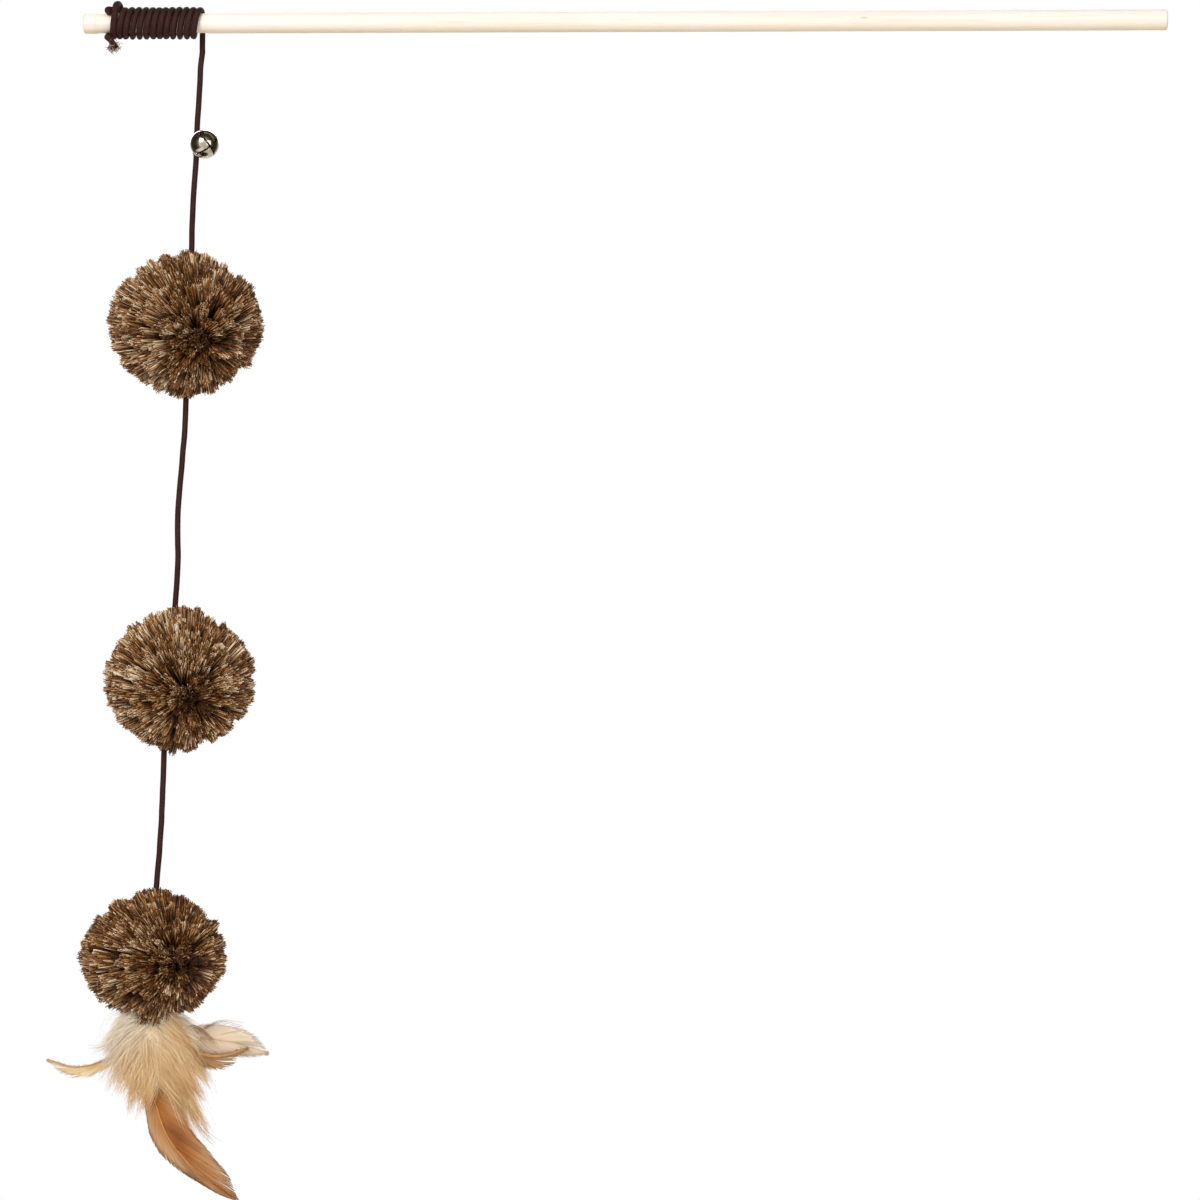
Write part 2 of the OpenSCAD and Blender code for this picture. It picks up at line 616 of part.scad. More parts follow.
module pale_feather() {
    color([0.82, 0.7, 0.55]) feather(3, 0.5, pale_shares, shaft_d);
}

module left_feather() {
    color([0.75, 0.57, 0.35]) feather(6, -0.4, left_shares, shaft_d);
}

module down_front() {
    color([0.85, 0.72, 0.52]) feather(0, -3, down_front_shares, down_t);
}

module down_back() {
    color([0.85, 0.72, 0.52]) feather(4, 2.1, down_back_shares, down_t);
}

module down_left() {
    color([0.88, 0.8, 0.68]) feather(5, 0.5, down_left_shares, shaft_d);
}

rod();
winding();
knot_ear();
cord_tail();
frayed_end();
cord_link();
upper_cord();
bell_shell();
bell_loop();
bell_pea();
pompom_pile(0);  // pompom_1_pile
pompom_tie(0);  // pompom_1_tie
pompom_cord(0);  // pompom_1_cord
free_cord(mid_route, bottom_1, bend_gap, bend_gap);  // mid_cord
pompom_pile(1);  // pompom_2_pile
pompom_tie(1);  // pompom_2_tie
pompom_cord(1);  // pompom_2_cord
free_cord(low_route, bottom_2, bend_gap, bend_gap);  // low_cord
pompom_pile(2);  // pompom_3_pile
pompom_tie(2);  // pompom_3_tie
pompom_cord(2);  // pompom_3_cord
cord_end();
quill_binding();
main_feather();
tan_feather();
pale_feather();
left_feather();
down_front();
down_back();
down_left();
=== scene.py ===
# %% [markdown]
# # A cat teaser wand
# A pale dowel carries a long brown elastic cord. The cord is wound on near the dowel's tip, and
# from it hang a jingle bell, three cut-yarn pom-poms and a bunch of feathers. The CAD model is
# the fixed frame: it gives every piece its place, and this lesson gives the pieces their looks.
# All lengths are in metres unless a name ends in _mm.

# %% Load the frame and keep its box
import json
import math

import bmesh
import bpy
import numpy as np
from mathutils import Matrix, Vector


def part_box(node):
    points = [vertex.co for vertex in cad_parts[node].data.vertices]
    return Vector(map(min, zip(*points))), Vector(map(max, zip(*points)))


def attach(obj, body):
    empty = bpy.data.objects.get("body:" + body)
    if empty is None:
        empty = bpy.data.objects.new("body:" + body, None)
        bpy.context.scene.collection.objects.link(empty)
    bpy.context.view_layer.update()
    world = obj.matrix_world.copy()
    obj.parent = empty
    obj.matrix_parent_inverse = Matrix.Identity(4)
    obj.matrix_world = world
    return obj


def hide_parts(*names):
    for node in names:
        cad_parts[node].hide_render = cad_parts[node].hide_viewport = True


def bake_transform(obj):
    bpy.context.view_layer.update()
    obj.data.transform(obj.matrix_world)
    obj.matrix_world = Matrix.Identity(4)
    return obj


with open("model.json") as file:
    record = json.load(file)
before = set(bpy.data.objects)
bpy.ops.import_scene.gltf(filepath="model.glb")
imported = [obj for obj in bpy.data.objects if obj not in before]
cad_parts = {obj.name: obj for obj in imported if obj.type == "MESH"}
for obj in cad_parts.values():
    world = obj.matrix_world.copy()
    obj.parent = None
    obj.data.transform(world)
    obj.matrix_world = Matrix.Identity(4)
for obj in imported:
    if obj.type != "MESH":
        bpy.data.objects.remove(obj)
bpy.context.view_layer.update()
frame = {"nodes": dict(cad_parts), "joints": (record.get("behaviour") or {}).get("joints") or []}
MM = 0.001
bend = {j["name"]: np.array(j["pos_m"]) for j in frame["joints"]}


def add_object(name, data):
    """Puts a mesh, a lamp or the camera into the scene."""
    made = bpy.data.objects.new(name, data)
    bpy.context.scene.collection.objects.link(made)
    return made


def as_mesh(name, bm):
    mesh = bpy.data.meshes.new(name)
    bm.to_mesh(mesh)
    bm.free()
    return mesh


# %% [markdown]
# ## The camera
# The toy was photographed from straight on with a long lens. A camera two metres away with a
# lens of about 140 mm gives the same flat view. It stands a little to the right and below the
# middle, which is why the dowel seems to rise slightly towards its handle.

# %% Place the camera
AIM = Vector((-0.1838, 0.0, -0.251))
CAMERA_AWAY = 2.0
LENS_MM, SENSOR_MM = 139.16, 36
CAMERA_YAW, CAMERA_PITCH, CAMERA_ROLL = np.radians([2.69, 2.59, 0.26])

lens = bpy.data.cameras.new("camera")
lens.lens = LENS_MM
lens.sensor_width = SENSOR_MM
camera = add_object("camera", lens)
camera.rotation_euler = (math.pi / 2 + CAMERA_PITCH, 0, CAMERA_YAW)
turned = camera.rotation_euler.to_matrix()
camera.location = AIM + turned @ Vector((0, 0, CAMERA_AWAY))
camera.rotation_euler = (turned @ Matrix.Rotation(CAMERA_ROLL, 3, "Z")).to_euler()
bpy.context.scene.camera = camera
print("the camera is", CAMERA_AWAY, "m away with a", LENS_MM, "mm lens")

# %% [markdown]
# ## One way to make every long, thin piece
# A cord, a strand of yarn and a feather's barb are all the same shape: a closed prism that is
# bent along a line. It could be a curve with a bevel, but thousands of curves are slow, so one
# prism is extruded ring by ring, doubled until there are enough, and its rings are then moved
# onto their lines all at once. While it is still straight, a vertex's height is its ring's
# number, which is how it is known later.

# %% The prism, its copies and the lines that they follow
STEPS_BETWEEN = 24


def prisms(sides, rings, count):
    """A bmesh of count closed prisms on one spot, a unit high, their rings evenly spaced."""
    bm = bmesh.new()
    bmesh.ops.create_circle(bm, cap_ends=True, segments=sides, radius=1)
    made = bmesh.ops.extrude_face_region(bm, geom=list(bm.faces))["geom"]
    bmesh.ops.translate(
        bm, verts=[g for g in made if isinstance(g, bmesh.types.BMVert)], vec=(0, 0, 1))
    if rings > 2:
        upright = [e for e in bm.edges if e.verts[0].co.z != e.verts[1].co.z]
        bmesh.ops.subdivide_edges(bm, edges=upright, cuts=rings - 2)
    one = [len(bm.verts), len(bm.edges), len(bm.faces)]
    done = 1
    while done < count:
        more = min(done, count - done)
        again = [e for group, size in zip((bm.verts, bm.edges, bm.faces), one)
                 for e in list(group)[:more * size]]
        bmesh.ops.duplicate(bm, geom=again)
        done += more
    return bm


def unit(v):
    return v / np.maximum(np.linalg.norm(v, axis=-1, keepdims=True), 1e-12)


def carried_frames(lines, hint):
    """Two directions square to each line at each of its places, carried along without a twist."""
    ahead = unit(np.gradient(lines, axis=1))
    u = unit(hint - (hint * ahead[:, 0]).sum(-1, keepdims=True) * ahead[:, 0])
    us = []
    for i in range(lines.shape[1]):
        u = unit(u - (u * ahead[:, i]).sum(-1, keepdims=True) * ahead[:, i])
        us.append(u)
    us = np.stack(us, 1)
    return us, np.cross(ahead, us)


def strands(name, lines, radii, hint, sides=3, flatness=1.0, smooth=False, rounding=False,
            **marks):
    """A piece of closed prisms, one along each line. radii and flatness, the thickness as a share
    of the width, hold a value for each place of each line. Each of marks is a value for each
    strand or each place, kept as an attribute, and rounding keeps the place round the prism."""
    count, rings = lines.shape[:2]
    mesh = as_mesh(name, prisms(sides, rings, count))
    at = np.array([v.co for v in mesh.vertices[:len(mesh.vertices) // count]])
    ring = np.rint(at[:, 2] * (rings - 1)).astype(int)
    cos, sin = at[:, 0], at[:, 1]
    us, vs = carried_frames(lines, hint)
    wide = radii[:, ring, None]
    flat = np.broadcast_to(flatness, (count, rings))[:, ring, None]
    placed = (lines[:, ring] + wide * cos[None, :, None] * us[:, ring]
              + wide * flat * sin[None, :, None] * vs[:, ring])
    mesh.vertices.foreach_set("co", placed.astype(np.float32).ravel())
    marks["along"] = np.linspace(0, 1, rings)[None]
    spread = {}
    for mark, values in marks.items():
        values = np.asarray(values, float)
        values = values[:, None] if values.ndim == 1 else values
        spread[mark] = np.broadcast_to(values, (count, rings))[:, ring]
    if rounding:
        spread["across_cos"] = np.broadcast_to(cos, (count, len(cos)))
        spread["across_sin"] = np.broadcast_to(sin, (count, len(sin)))
    for mark, values in spread.items():
        kept = mesh.attributes.new(mark, "FLOAT", "POINT")
        kept.data.foreach_set("value", values.astype(np.float32).ravel())
    mesh.polygons.foreach_set("use_smooth", np.full(len(mesh.polygons), smooth))
    mesh.update()
    return add_object(name, mesh)


def between(values, places, known=None):
    """The rows of values at places between the known ones, which are 0, 1, 2 if none are given."""
    known = np.arange(len(values)) if known is None else known
    return np.stack([np.interp(places, known, column) for column in values.T], -1)


def far_along(line):
    return np.concatenate([[0], np.cumsum(np.linalg.norm(np.diff(line, axis=0), axis=1))])


def bowed(start, towards, end, t):
    """Lines that leave start, bend towards a point and arrive at end, at the shares t."""
    return ((1 - t) ** 2 * start[:, None] + 2 * t * (1 - t) * towards[:, None]
            + t ** 2 * end[:, None])


def smooth_line(points, spacing):
    """Evenly spaced points on a smooth line through the given ones."""
    p = np.asarray(points, float)
    p = np.vstack([2 * p[0] - p[1], p, 2 * p[-1] - p[-2]])
    t = np.linspace(0, 1, STEPS_BETWEEN, endpoint=False)[:, None]
    fine = []
    for a, b, c, d in zip(p[:-3], p[1:-2], p[2:-1], p[3:]):
        fine.append(0.5 * (2 * b + (c - a) * t + (2 * a - 5 * b + 4 * c - d) * t ** 2
                           + (3 * b - a - 3 * c + d) * t ** 3))
    fine = np.vstack(fine + [p[-2:-1]])
    far = far_along(fine)
    places = np.linspace(0, far[-1], max(4, int(round(far[-1] / spacing)) + 1))
    return between(fine, places, far)


# %% [markdown]
# ## The finishes' toolkit
# Shader maths reads best as plain sums. Number wraps the output of a node, so that adding or
# multiplying two of them adds the Math node in between. Finish makes one material, and its
# node method makes every other node from its type, its settings and its inputs.

# %% Number and Finish
class Number:
    def __init__(self, finish, socket):
        self.finish, self.socket = finish, socket

    def do(self, operation, *others):
        node = self.finish.node("ShaderNodeMath", {"operation": operation}, [self, *others])
        return Number(self.finish, node.outputs[0])

    def __add__(self, other): return self.do("ADD", other)
    def __radd__(self, other): return self.do("ADD", other)
    def __mul__(self, other): return self.do("MULTIPLY", other)
    def __rmul__(self, other): return self.do("MULTIPLY", other)
    def __sub__(self, other): return self.do("SUBTRACT", other)
    def __rsub__(self, other): return (self * -1).do("ADD", other)
    def __truediv__(self, other): return self.do("DIVIDE", other)
    def __pow__(self, other): return self.do("POWER", other)

    def clamp(self):
        return self.do("MINIMUM", 1.0).do("MAXIMUM", 0.0)


class Finish:
    """The nodes of a new material, or of the world when that is handed in."""

    def __init__(self, name, world=None):
        self.material = world or bpy.data.materials.new(name)
        self.material.use_nodes = True
        self.tree = self.material.node_tree
        self.tree.nodes.clear()
        self.coordinates = self.node("ShaderNodeTexCoord")

    def node(self, kind, settings=None, inputs=()):
        node = self.tree.nodes.new(kind)
        for key, value in (settings or {}).items():
            if key == "stops":
                ramp = node.color_ramp
                while len(ramp.elements) < len(value):
                    ramp.elements.new(1.0)
                for element, (place, colour) in zip(ramp.elements, value):
                    element.position, element.color = place, (*colour, 1)
            else:
                setattr(node, key, value)
        pairs = inputs.items() if isinstance(inputs, dict) else enumerate(inputs)
        for key, value in pairs:
            socket = node.inputs[key]
            if isinstance(value, Number):
                value = value.socket
            if isinstance(value, bpy.types.NodeSocket):
                self.tree.links.new(value, socket)
            elif isinstance(value, tuple) and len(value) == 3 and len(socket.default_value) == 4:
                socket.default_value = (*value, 1)
            else:
                socket.default_value = value
        return node

    def mark(self, name):
        """An attribute of the piece."""
        node = self.node("ShaderNodeAttribute", {"attribute_name": name})
        return Number(self, node.outputs["Fac"])

    def scaled(self, shares):
        """The piece's own coordinates, each times its share."""
        return self.node("ShaderNodeMapping", None, {
            "Vector": self.coordinates.outputs["Object"], "Scale": shares}).outputs[0]

    def noise(self, scale, shares=(1, 1, 1), detail=3.0, roughness=0.55):
        """Noise, its scale in features a metre. It is drawn out along an axis by a low share."""
        node = self.node("ShaderNodeTexNoise", None, {
            "Vector": self.scaled(shares), "Scale": scale, "Detail": detail,
            "Roughness": roughness})
        return Number(self, node.outputs["Fac"])

    def ramp(self, value, *stops):
        return self.node("ShaderNodeValToRGB", {"stops": stops}, [value]).outputs["Color"]

    def mix(self, share, a, b, blend="MIX"):
        # a colour mix reads its factor and its two colours at inputs 0, 6 and 7
        node = self.node("ShaderNodeMix", {"data_type": "RGBA", "blend_type": blend},
                         {0: share, 6: a, 7: b})
        return node.outputs[2]

    def bump(self, height, distance, strength=1.0):
        node = self.node("ShaderNodeBump", None, {
            "Height": height, "Distance": distance, "Strength": strength})
        return node.outputs["Normal"]

    def surface(self, **sockets):
        named = {key.replace("_", " "): value for key, value in sockets.items()}
        body = self.node("ShaderNodeBsdfPrincipled", None, named)
        self.node("ShaderNodeOutputMaterial", None, {"Surface": body.outputs[0]})
        return self.material


def dress(material, *pieces):
    """Gives the pieces or CAD nodes this one material."""
    for piece in pieces:
        piece = frame["nodes"][piece] if isinstance(piece, str) else piece
        piece.data.materials.clear()
        piece.data.materials.append(material)


def settle(piece, body, node, finish):
    """Says a piece's body, if it has one, and the CAD node that it
    replaces, if there is one, and dresses it."""
    if body:
        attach(piece, body)
    if node:
        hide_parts(node)
    dress(finish, piece)


# %% [markdown]
# ## The cord's finish
# Dull dark brown thread with a reddish tint. The cover is braided: two sets of threads wind
# round the cord in opposite directions. Each set is a sine of the angle round the cord plus the
# length along it, and the higher of the two shows. A whole number of threads fits round the
# cord, so that the pattern closes.

# %% Cord and thread
CARRIERS = 5
BRAID_LENGTH = 1.9 * MM


def cord_finish(name, dark, light):
    f = Finish(name)
    fibre = f.noise(2600, (1, 1, 0.35), detail=2)
    patch = f.noise(160, detail=2)
    round_cord = f.mark("across_sin").do("ARCTAN2", f.mark("across_cos")) * CARRIERS
    along_cord = f.mark("far") * (2 * math.pi / BRAID_LENGTH * 2)
    braid = (round_cord + along_cord).do("SINE").do("MAXIMUM", (round_cord - along_cord).do("SINE"))
    tone = fibre * 0.5 + patch * 0.3 + braid * 0.1 + 0.06
    colour = f.ramp(tone, (0.25, dark), (0.72, light))
    return f.surface(Base_Color=colour, Roughness=0.7, Specular_IOR_Level=0.16,
                     Normal=f.bump(braid * 0.7 + fibre * 0.5, 0.12 * MM, 0.7))


def fibre_finish(name, dark, light, scale=3000, pull=0.3, rough=0.75, shine=0.3, depth_mm=0.06,
                 strength=0.6):
    f = Finish(name)
    fibre = f.noise(scale, (1, 1, pull), detail=2)
    return f.surface(Base_Color=f.ramp(fibre, (0.3, dark), (0.7, light)), Roughness=rough,
                     Specular_IOR_Level=shine, Normal=f.bump(fibre, depth_mm * MM, strength))


brown_cord = cord_finish("brown_cord", (0.01, 0.003, 0.0025), (0.06, 0.019, 0.015))
brown_thread = fibre_finish("brown_thread", (0.09, 0.045, 0.022), (0.2, 0.11, 0.06))
plain_cord = fibre_finish("plain_brown_cord", (0.022, 0.008, 0.006), (0.06, 0.025, 0.02))
dress(plain_cord, "pompom_1_cord", "pompom_2_cord", "pompom_3_cord", "cord_end")
dress(brown_thread, "pompom_1_tie", "pompom_2_tie", "pompom_3_tie", "quill_binding")

# %% [markdown]
# ## The cord
# The real cord is a rubber core in a braided cover, 2.5 mm thick. It is one tube with many
# sides along each stretch, and its finish draws the braid. For that the tube keeps two things
# in its vertices: how far along the cord they lie, and where they are round it. It bends at
# hinges in the CAD model, so the pieces meet at the bends.

# %% A cord along a line
CORD_R = 1.25 * MM
CORD_SIDES = 20
CORD_STEP = 0.3 * MM
BLUNTEST = 0.985
SKEW = np.array([[1.0, 0.13, 0.07]])


def cord(name, node, body, points, round_start=True, round_end=True, radius=CORD_R,
         flatness=1.0):
    """A cord through the points, its ends rounded off where they are seen. radius and flatness
    may be functions that take the points of its line and how far along it they lie."""
    line = smooth_line(points, CORD_STEP)
    far = far_along(line)
    wide = radius(line, far) if callable(radius) else np.full(len(line), radius)
    for ends, reach in ((round_start, far), (round_end, far[-1] - far)):
        if ends:
            share = np.clip(1 - reach / CORD_R, 0, BLUNTEST)
            wide = wide * np.sqrt(1 - share ** 2)
    flat = flatness(line, far) if callable(flatness) else np.full(len(line), flatness)
    piece = strands(name, line[None], wide[None], SKEW, sides=CORD_SIDES, flatness=flat[None],
                    smooth=True, rounding=True, far=far[None])
    settle(piece, body, node, brown_cord)
    return piece, line, far[-1]


# %% [markdown]
# ## The free stretches
# From the dowel down, the cord hangs straight but for the slight lean and bow of a cord that
# was kept wound up. Each stretch is one piece from bend to bend. The one that comes off the
# winding and the long one under it cross a bend in plain sight and are given no body.

# %% Make the free cords and say what they are
UPPER_ROUTE_MM = [
    [0, 0], [-0.7, -6], [-0.9, -12], [-1.2, -18], [-1.5, -24], [-1.9, -30], [-2.1, -36],
    [-2.2, -42], [-2.4, -48], [-2.8, -54], [-3.2, -60], [-3.5, -66], [-3.7, -72], [-3.9, -78],
    [-3.9, -84], [-4.1, -89.4]]
MID_ROUTE_MM = [
    [0, 0], [-0.1, -6.4], [-0.3, -13], [-0.6, -19.6], [-1.2, -26], [-1.6, -32.4], [-2.2, -39],
    [-2.7, -45.6], [-3.1, -52], [-3.2, -58.4], [-3.1, -65], [-2.9, -71.6], [-3.1, -78],
    [-3.4, -84.4], [-3.8, -90], [-4.1, -95.4]]
LOW_ROUTE_MM = [
    [0, 0], [-0.1, -4.6], [-0.2, -9.2], [-0.3, -13.8], [-0.5, -18.4], [-0.6, -23],
    [-0.8, -27.6], [-0.9, -32.2], [-1.2, -36.8], [-1.5, -41.4], [-1.7, -46], [-2.1, -50.6],
    [-2.5, -55.2], [-2.8, -59.8], [-3.1, -63.9]]
SWING, SWAY = bend["cord_swing"], bend["cord_sway"]
LINK_MIDDLE = (SWING + SWAY) / 2
EXIT_ABOVE = np.array([0, 0, 1.4 * MM])
KNOT_DOWN = 42.8 * MM
KNOT_SWELL = 0.45 * MM
KNOT_LENGTH = 1.5 * MM


def route(top, table_mm):
    return np.array([top + np.array([x, 0, z]) * MM for x, z in table_mm])


def knotted(line, far):
    """The small knot that holds up the bell's loop makes the cord thicker for a few millimetres."""
    off = (line[:, 2] - (SWAY[2] - KNOT_DOWN)) / KNOT_LENGTH
    return CORD_R + KNOT_SWELL * np.exp(-off ** 4)


swing = cord(
    "swing_cord", "cord_link", None,
    [SWING + EXIT_ABOVE, SWING + EXIT_ABOVE / 2, SWING, (SWING + LINK_MIDDLE) / 2, LINK_MIDDLE],
    round_start=False, round_end=False)
upper_points = np.vstack([[LINK_MIDDLE + [0, 0, 0.1 * MM], (LINK_MIDDLE + SWAY) / 2],
                          route(SWAY, UPPER_ROUTE_MM)])
upper = cord("hanging_cord", "upper_cord", None, upper_points, round_start=False, radius=knotted)
middle = cord("middle_cord", "mid_cord", "mid_line", route(bend["mid_sway"], MID_ROUTE_MM))
lower = cord("lower_cord", "low_cord", "low_line", route(bend["low_sway"], LOW_ROUTE_MM))
for piece, line, length in (upper, middle, lower):
    print(piece.name, "is", round(length, 4), "m long")

# %% [markdown]
# ## The winding and its knot
# The cord comes up behind the dowel, takes twelve turns side by side and a last one that lies
# over the knot's bight. It is one unbroken tube along the same line that the CAD model uses:
# the angle round the dowel grows steadily while the place along it falls by one pitch a turn.
# Pulled tight, the elastic spreads until its turns touch, so the tube is a little wider than
# high there. Its front side leans by a whole turn, and its back runs straight across.

# %% Wind the cord on
WIND_R = SWING[1]
PITCH = 2.95 * MM
TURNS = 12
BACK_ANGLE, TOP_ANGLE, END_ANGLE = -90, 360 * TURNS, 360 * TURNS + 215
HANG_X = -359.2 * MM
EXIT_STEP = 0.3 * MM
KNOT_RISE = 2 * CORD_R * 1.13
SPREAD_R = 1.46 * MM
SPREAD_OVER = [5 * MM, 24 * MM]
TURN_STEP = 5.0
FRONT_LEAN = 0.75 * MM


def round_dowel(angle, x, r):
    a = np.radians(angle)
    return np.stack([x + 0 * a, -r * np.sin(a), r * np.cos(a)], -1)


def wound_x(angle):
    last = np.interp(angle, [TOP_ANGLE - 270, TOP_ANGLE - 30], [1, 0.4])
    return (HANG_X - PITCH * (angle - BACK_ANGLE) / 360
            + EXIT_STEP * np.maximum(0, (90 - angle) / 180)
            + FRONT_LEAN * np.cos(np.radians(angle)) * last)


def wound_lift(angle):
    """How far the last turn rises over the bight: all the way within 25 degrees of the top."""
    off = np.abs(angle - TOP_ANGLE)
    return KNOT_RISE * np.cos(np.radians(np.clip((off - 25) * 1.2, 0, 90))) ** 2


def spread(line, far):
    return np.interp(far, SPREAD_OVER, [CORD_R, SPREAD_R])


angles = np.arange(BACK_ANGLE, END_ANGLE + 1, TURN_STEP)
turns_line = round_dowel(angles, wound_x(angles), WIND_R + wound_lift(angles))
rise = np.array([[SWING[0], WIND_R, z * MM] for z in (-4.9, -3.6, -2.2, -1.0)])
cord("winding_cord", "winding", "wand", np.vstack([rise, turns_line]), round_start=False,
     radius=spread, flatness=lambda line, far: CORD_R / spread(line, far))
print("the cord goes", TURNS, "times round the dowel,", round(PITCH / MM, 2), "mm a turn")

# %% The bight of the knot and the cut tail
CROSSING_X = HANG_X - PITCH * (TOP_ANGLE - BACK_ANGLE) / 360
EAR_SHARES = [
    [0.035, 0.02, 0.02], [0.033, 0.5, 0.03], [0.033, 0.95, 0.14], [0.045, 1.25, 0.2],
    [0.075, 1.38, 0.2], [0.106, 1.3, 0.14], [0.128, 1.02, 0.06], [0.135, 0.7, 0.02]]
TAIL_SHARES = [
    [-0.2, 0.95, 0], [-0.27, 1.22, 0], [-0.34, 1.46, 0], [-0.41, 1.58, 0], [-0.47, 1.6, 0.05],
    [-0.52, 1.5, 0.24], [-0.55, 1.3, 0.55], [-0.565, 1.05, 0.95], [-0.572, 0.78, 1.35]]
TAIL_END_MM = [[-396.6, -5.3, -9.4], [-395.2, -6.5, -11.3]]


def knot_strand(name, node, shares, round_end, on_to_mm=()):
    """shares: the turns round the dowel, the pitches to the left and the cord widths outwards."""
    turn, left, out = np.array(shares).T
    points = round_dowel(360 * turn, CROSSING_X - left * PITCH, WIND_R + out * 2 * CORD_R)
    points = np.vstack([points, *(np.array([p]) * MM for p in on_to_mm)])
    return cord(name, node, "wand", points, round_end=round_end)[1]


knot_strand("knot_bight", "knot_ear", EAR_SHARES, True)
tail_line = knot_strand("cut_tail", "cord_tail", TAIL_SHARES, False, TAIL_END_MM)

# %% [markdown]
# ## The frayed end
# Where the cord was cut its cover came apart. The thin threads stand out in loops round the
# end, most of them dark, a few orange, tan or white from the rubber core. Each thread is a
# line that goes outwards while it turns round itself.

# %% Loose threads
FRAY_THREADS = 74
FRAY_RINGS = 22
fray = np.random.default_rng(7)
cut_end = tail_line[-1]
heading = unit(tail_line[-1] - tail_line[-6])
away = unit(fray.normal(0, 0.8, (FRAY_THREADS, 3)) + [0.15, -0.2, -0.5])
reach_mm = fray.uniform(2.0, 4.3, FRAY_THREADS)
twist = fray.uniform(0.5, 1.5, FRAY_THREADS) * fray.choice([-1, 1], FRAY_THREADS)
loop_mm = fray.uniform(0.6, 1.7, FRAY_THREADS)
across_1 = unit(np.cross(away, fray.normal(0, 1, away.shape)))
across_2 = np.cross(away, across_1)
share = np.linspace(0, 1, FRAY_RINGS)
phase = 2 * math.pi * twist[:, None] * share
curl = ((np.cos(phase) - 1)[..., None] * across_1[:, None]
        + np.sin(phase)[..., None] * across_2[:, None])
start = cut_end - heading * 1.2 * MM + across_1 * 0.75 * MM
fray_lines = (start[:, None] + (reach_mm[:, None] * share)[..., None] * away[:, None] * MM
              + (loop_mm[:, None] * share ** 0.5)[..., None] * curl * MM)
fray_r = fray.uniform(0.08, 0.15, FRAY_THREADS)[:, None] * (1 - 0.45 * share ** 3) * MM
frayed = strands("frayed_threads", fray_lines, fray_r, unit(fray.normal(0, 1, (FRAY_THREADS, 3))),
                 sides=4, smooth=True, tone=fray.uniform(0, 1, FRAY_THREADS))

f = Finish("frayed_thread")
thread_colour = f.ramp(
    f.mark("tone"), (0.0, (0.03, 0.012, 0.01)), (0.72, (0.08, 0.03, 0.02)),
    (0.8, (0.55, 0.17, 0.03)), (0.88, (0.5, 0.3, 0.16)), (0.96, (0.85, 0.8, 0.72)))
frayed_thread = f.surface(Base_Color=thread_colour, Roughness=0.7, Specular_IOR_Level=0.3,
                          Normal=f.bump(f.noise(4000), 0.03 * MM, 0.5))
settle(frayed, "wand", "frayed_end", frayed_thread)
print(FRAY_THREADS, "loose threads")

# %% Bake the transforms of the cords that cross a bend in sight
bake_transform(swing[0])
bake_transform(upper[0])

# %% [markdown]
# ## The dowel
# Pale wood with a fine, straight grain: long faint streaks along the rod, a slight warmth that
# changes slowly and one small pin knot in front. Painted shade makes the underside darker and
# yellower. The streaks come from noise that is stretched sixty times along the rod.

# %% Pale wood
PIN_KNOT = np.array([-70.5, -4.3, 0.6]) * MM
KNOT_SHARES = 0.3, 1, 1

f = Finish("pale_wood")
streaks = f.noise(520, (0.016, 1, 1), detail=5, roughness=0.6)
pores = f.noise(2400, (0.02, 1, 1), detail=2)
slow_change = f.noise(14, (0.5, 1, 1), detail=2)
colour = f.ramp(streaks * 0.6 + slow_change * 0.4, (0.3, (0.8, 0.69, 0.565)),
                (0.5, (0.86, 0.775, 0.68)), (0.7, (0.89, 0.83, 0.76)))
dark_pore = f.ramp(pores, (0.3, (0.84, 0.76, 0.64)), (0.42, (1, 1, 1)))
colour = f.mix(0.55, colour, dark_pore, "MULTIPLY")
height = f.node("ShaderNodeSeparateXYZ", None, [f.coordinates.outputs["Object"]]).outputs[2]
# painted shade: the lower a place on the dowel, the darker and yellower its wood
underside_shade = f.ramp(Number(f, height) * -110 + streaks * 0.25,
               (0.25, (1, 1, 1)), (0.62, (1.0, 0.93, 0.76)))
colour = f.mix(1.0, colour, underside_shade, "MULTIPLY")
from_knot = f.node("ShaderNodeVectorMath", {"operation": "DISTANCE"},
                   [f.scaled(KNOT_SHARES), tuple(PIN_KNOT * KNOT_SHARES)])
pin_knot = f.ramp(Number(f, from_knot.outputs["Value"]) * 1000 + streaks * 0.4,
                  (0.35, (0.8, 0.66, 0.46)), (0.75, (1, 1, 1)))
dress(f.surface(Base_Color=f.mix(1.0, colour, pin_knot, "MULTIPLY"), Roughness=0.55,
                Specular_IOR_Level=0.3, Normal=f.bump(streaks + pores * 0.5, 0.05 * MM, 0.4)),
      "rod")

# %% [markdown]
# ## The jingle bell
# A thin nickel-plated ball. Its dark and bright patches are partly tarnish and partly painted
# reflection.

# %% Nickel and steel
def metal_finish(name, bright, dark, roughness):
    f = Finish(name)
    # dark and bright patches: partly tarnish, partly painted reflection
    tarnish_and_reflection = f.noise(420, detail=4, roughness=0.6)
    colour = f.ramp(tarnish_and_reflection, (0.35, dark), (0.6, bright))
    return f.surface(Base_Color=colour, Metallic=1.0, Roughness=tarnish_and_reflection * 0.1 + roughness,
                     Normal=f.bump(tarnish_and_reflection, 0.02 * MM, 0.2))


dress(metal_finish("nickel", (0.62, 0.55, 0.45), (0.38, 0.32, 0.24), 0.1),
      "bell_shell", "bell_loop")
dress(metal_finish("steel", (0.6, 0.6, 0.6), (0.4, 0.39, 0.37), 0.3), "bell_pea")

# %% [markdown]
# ## The pom-poms
# Real ones are made of hundreds of turns of yarn, tied at the waist and cut, so that every
# cut end stands out from the tie. The yarn is plied from dark brown, tan and off-white threads.
# Each pom-pom here is about fifty thousand short prisms in fourteen hundred yarns. A yarn's
# strands spread at its cut end like a brush, and neighbouring yarns keep together in pointed
# tufts with dark valleys between. All of them start near the dimple where the yarn parts, so
# they look combed away from it.

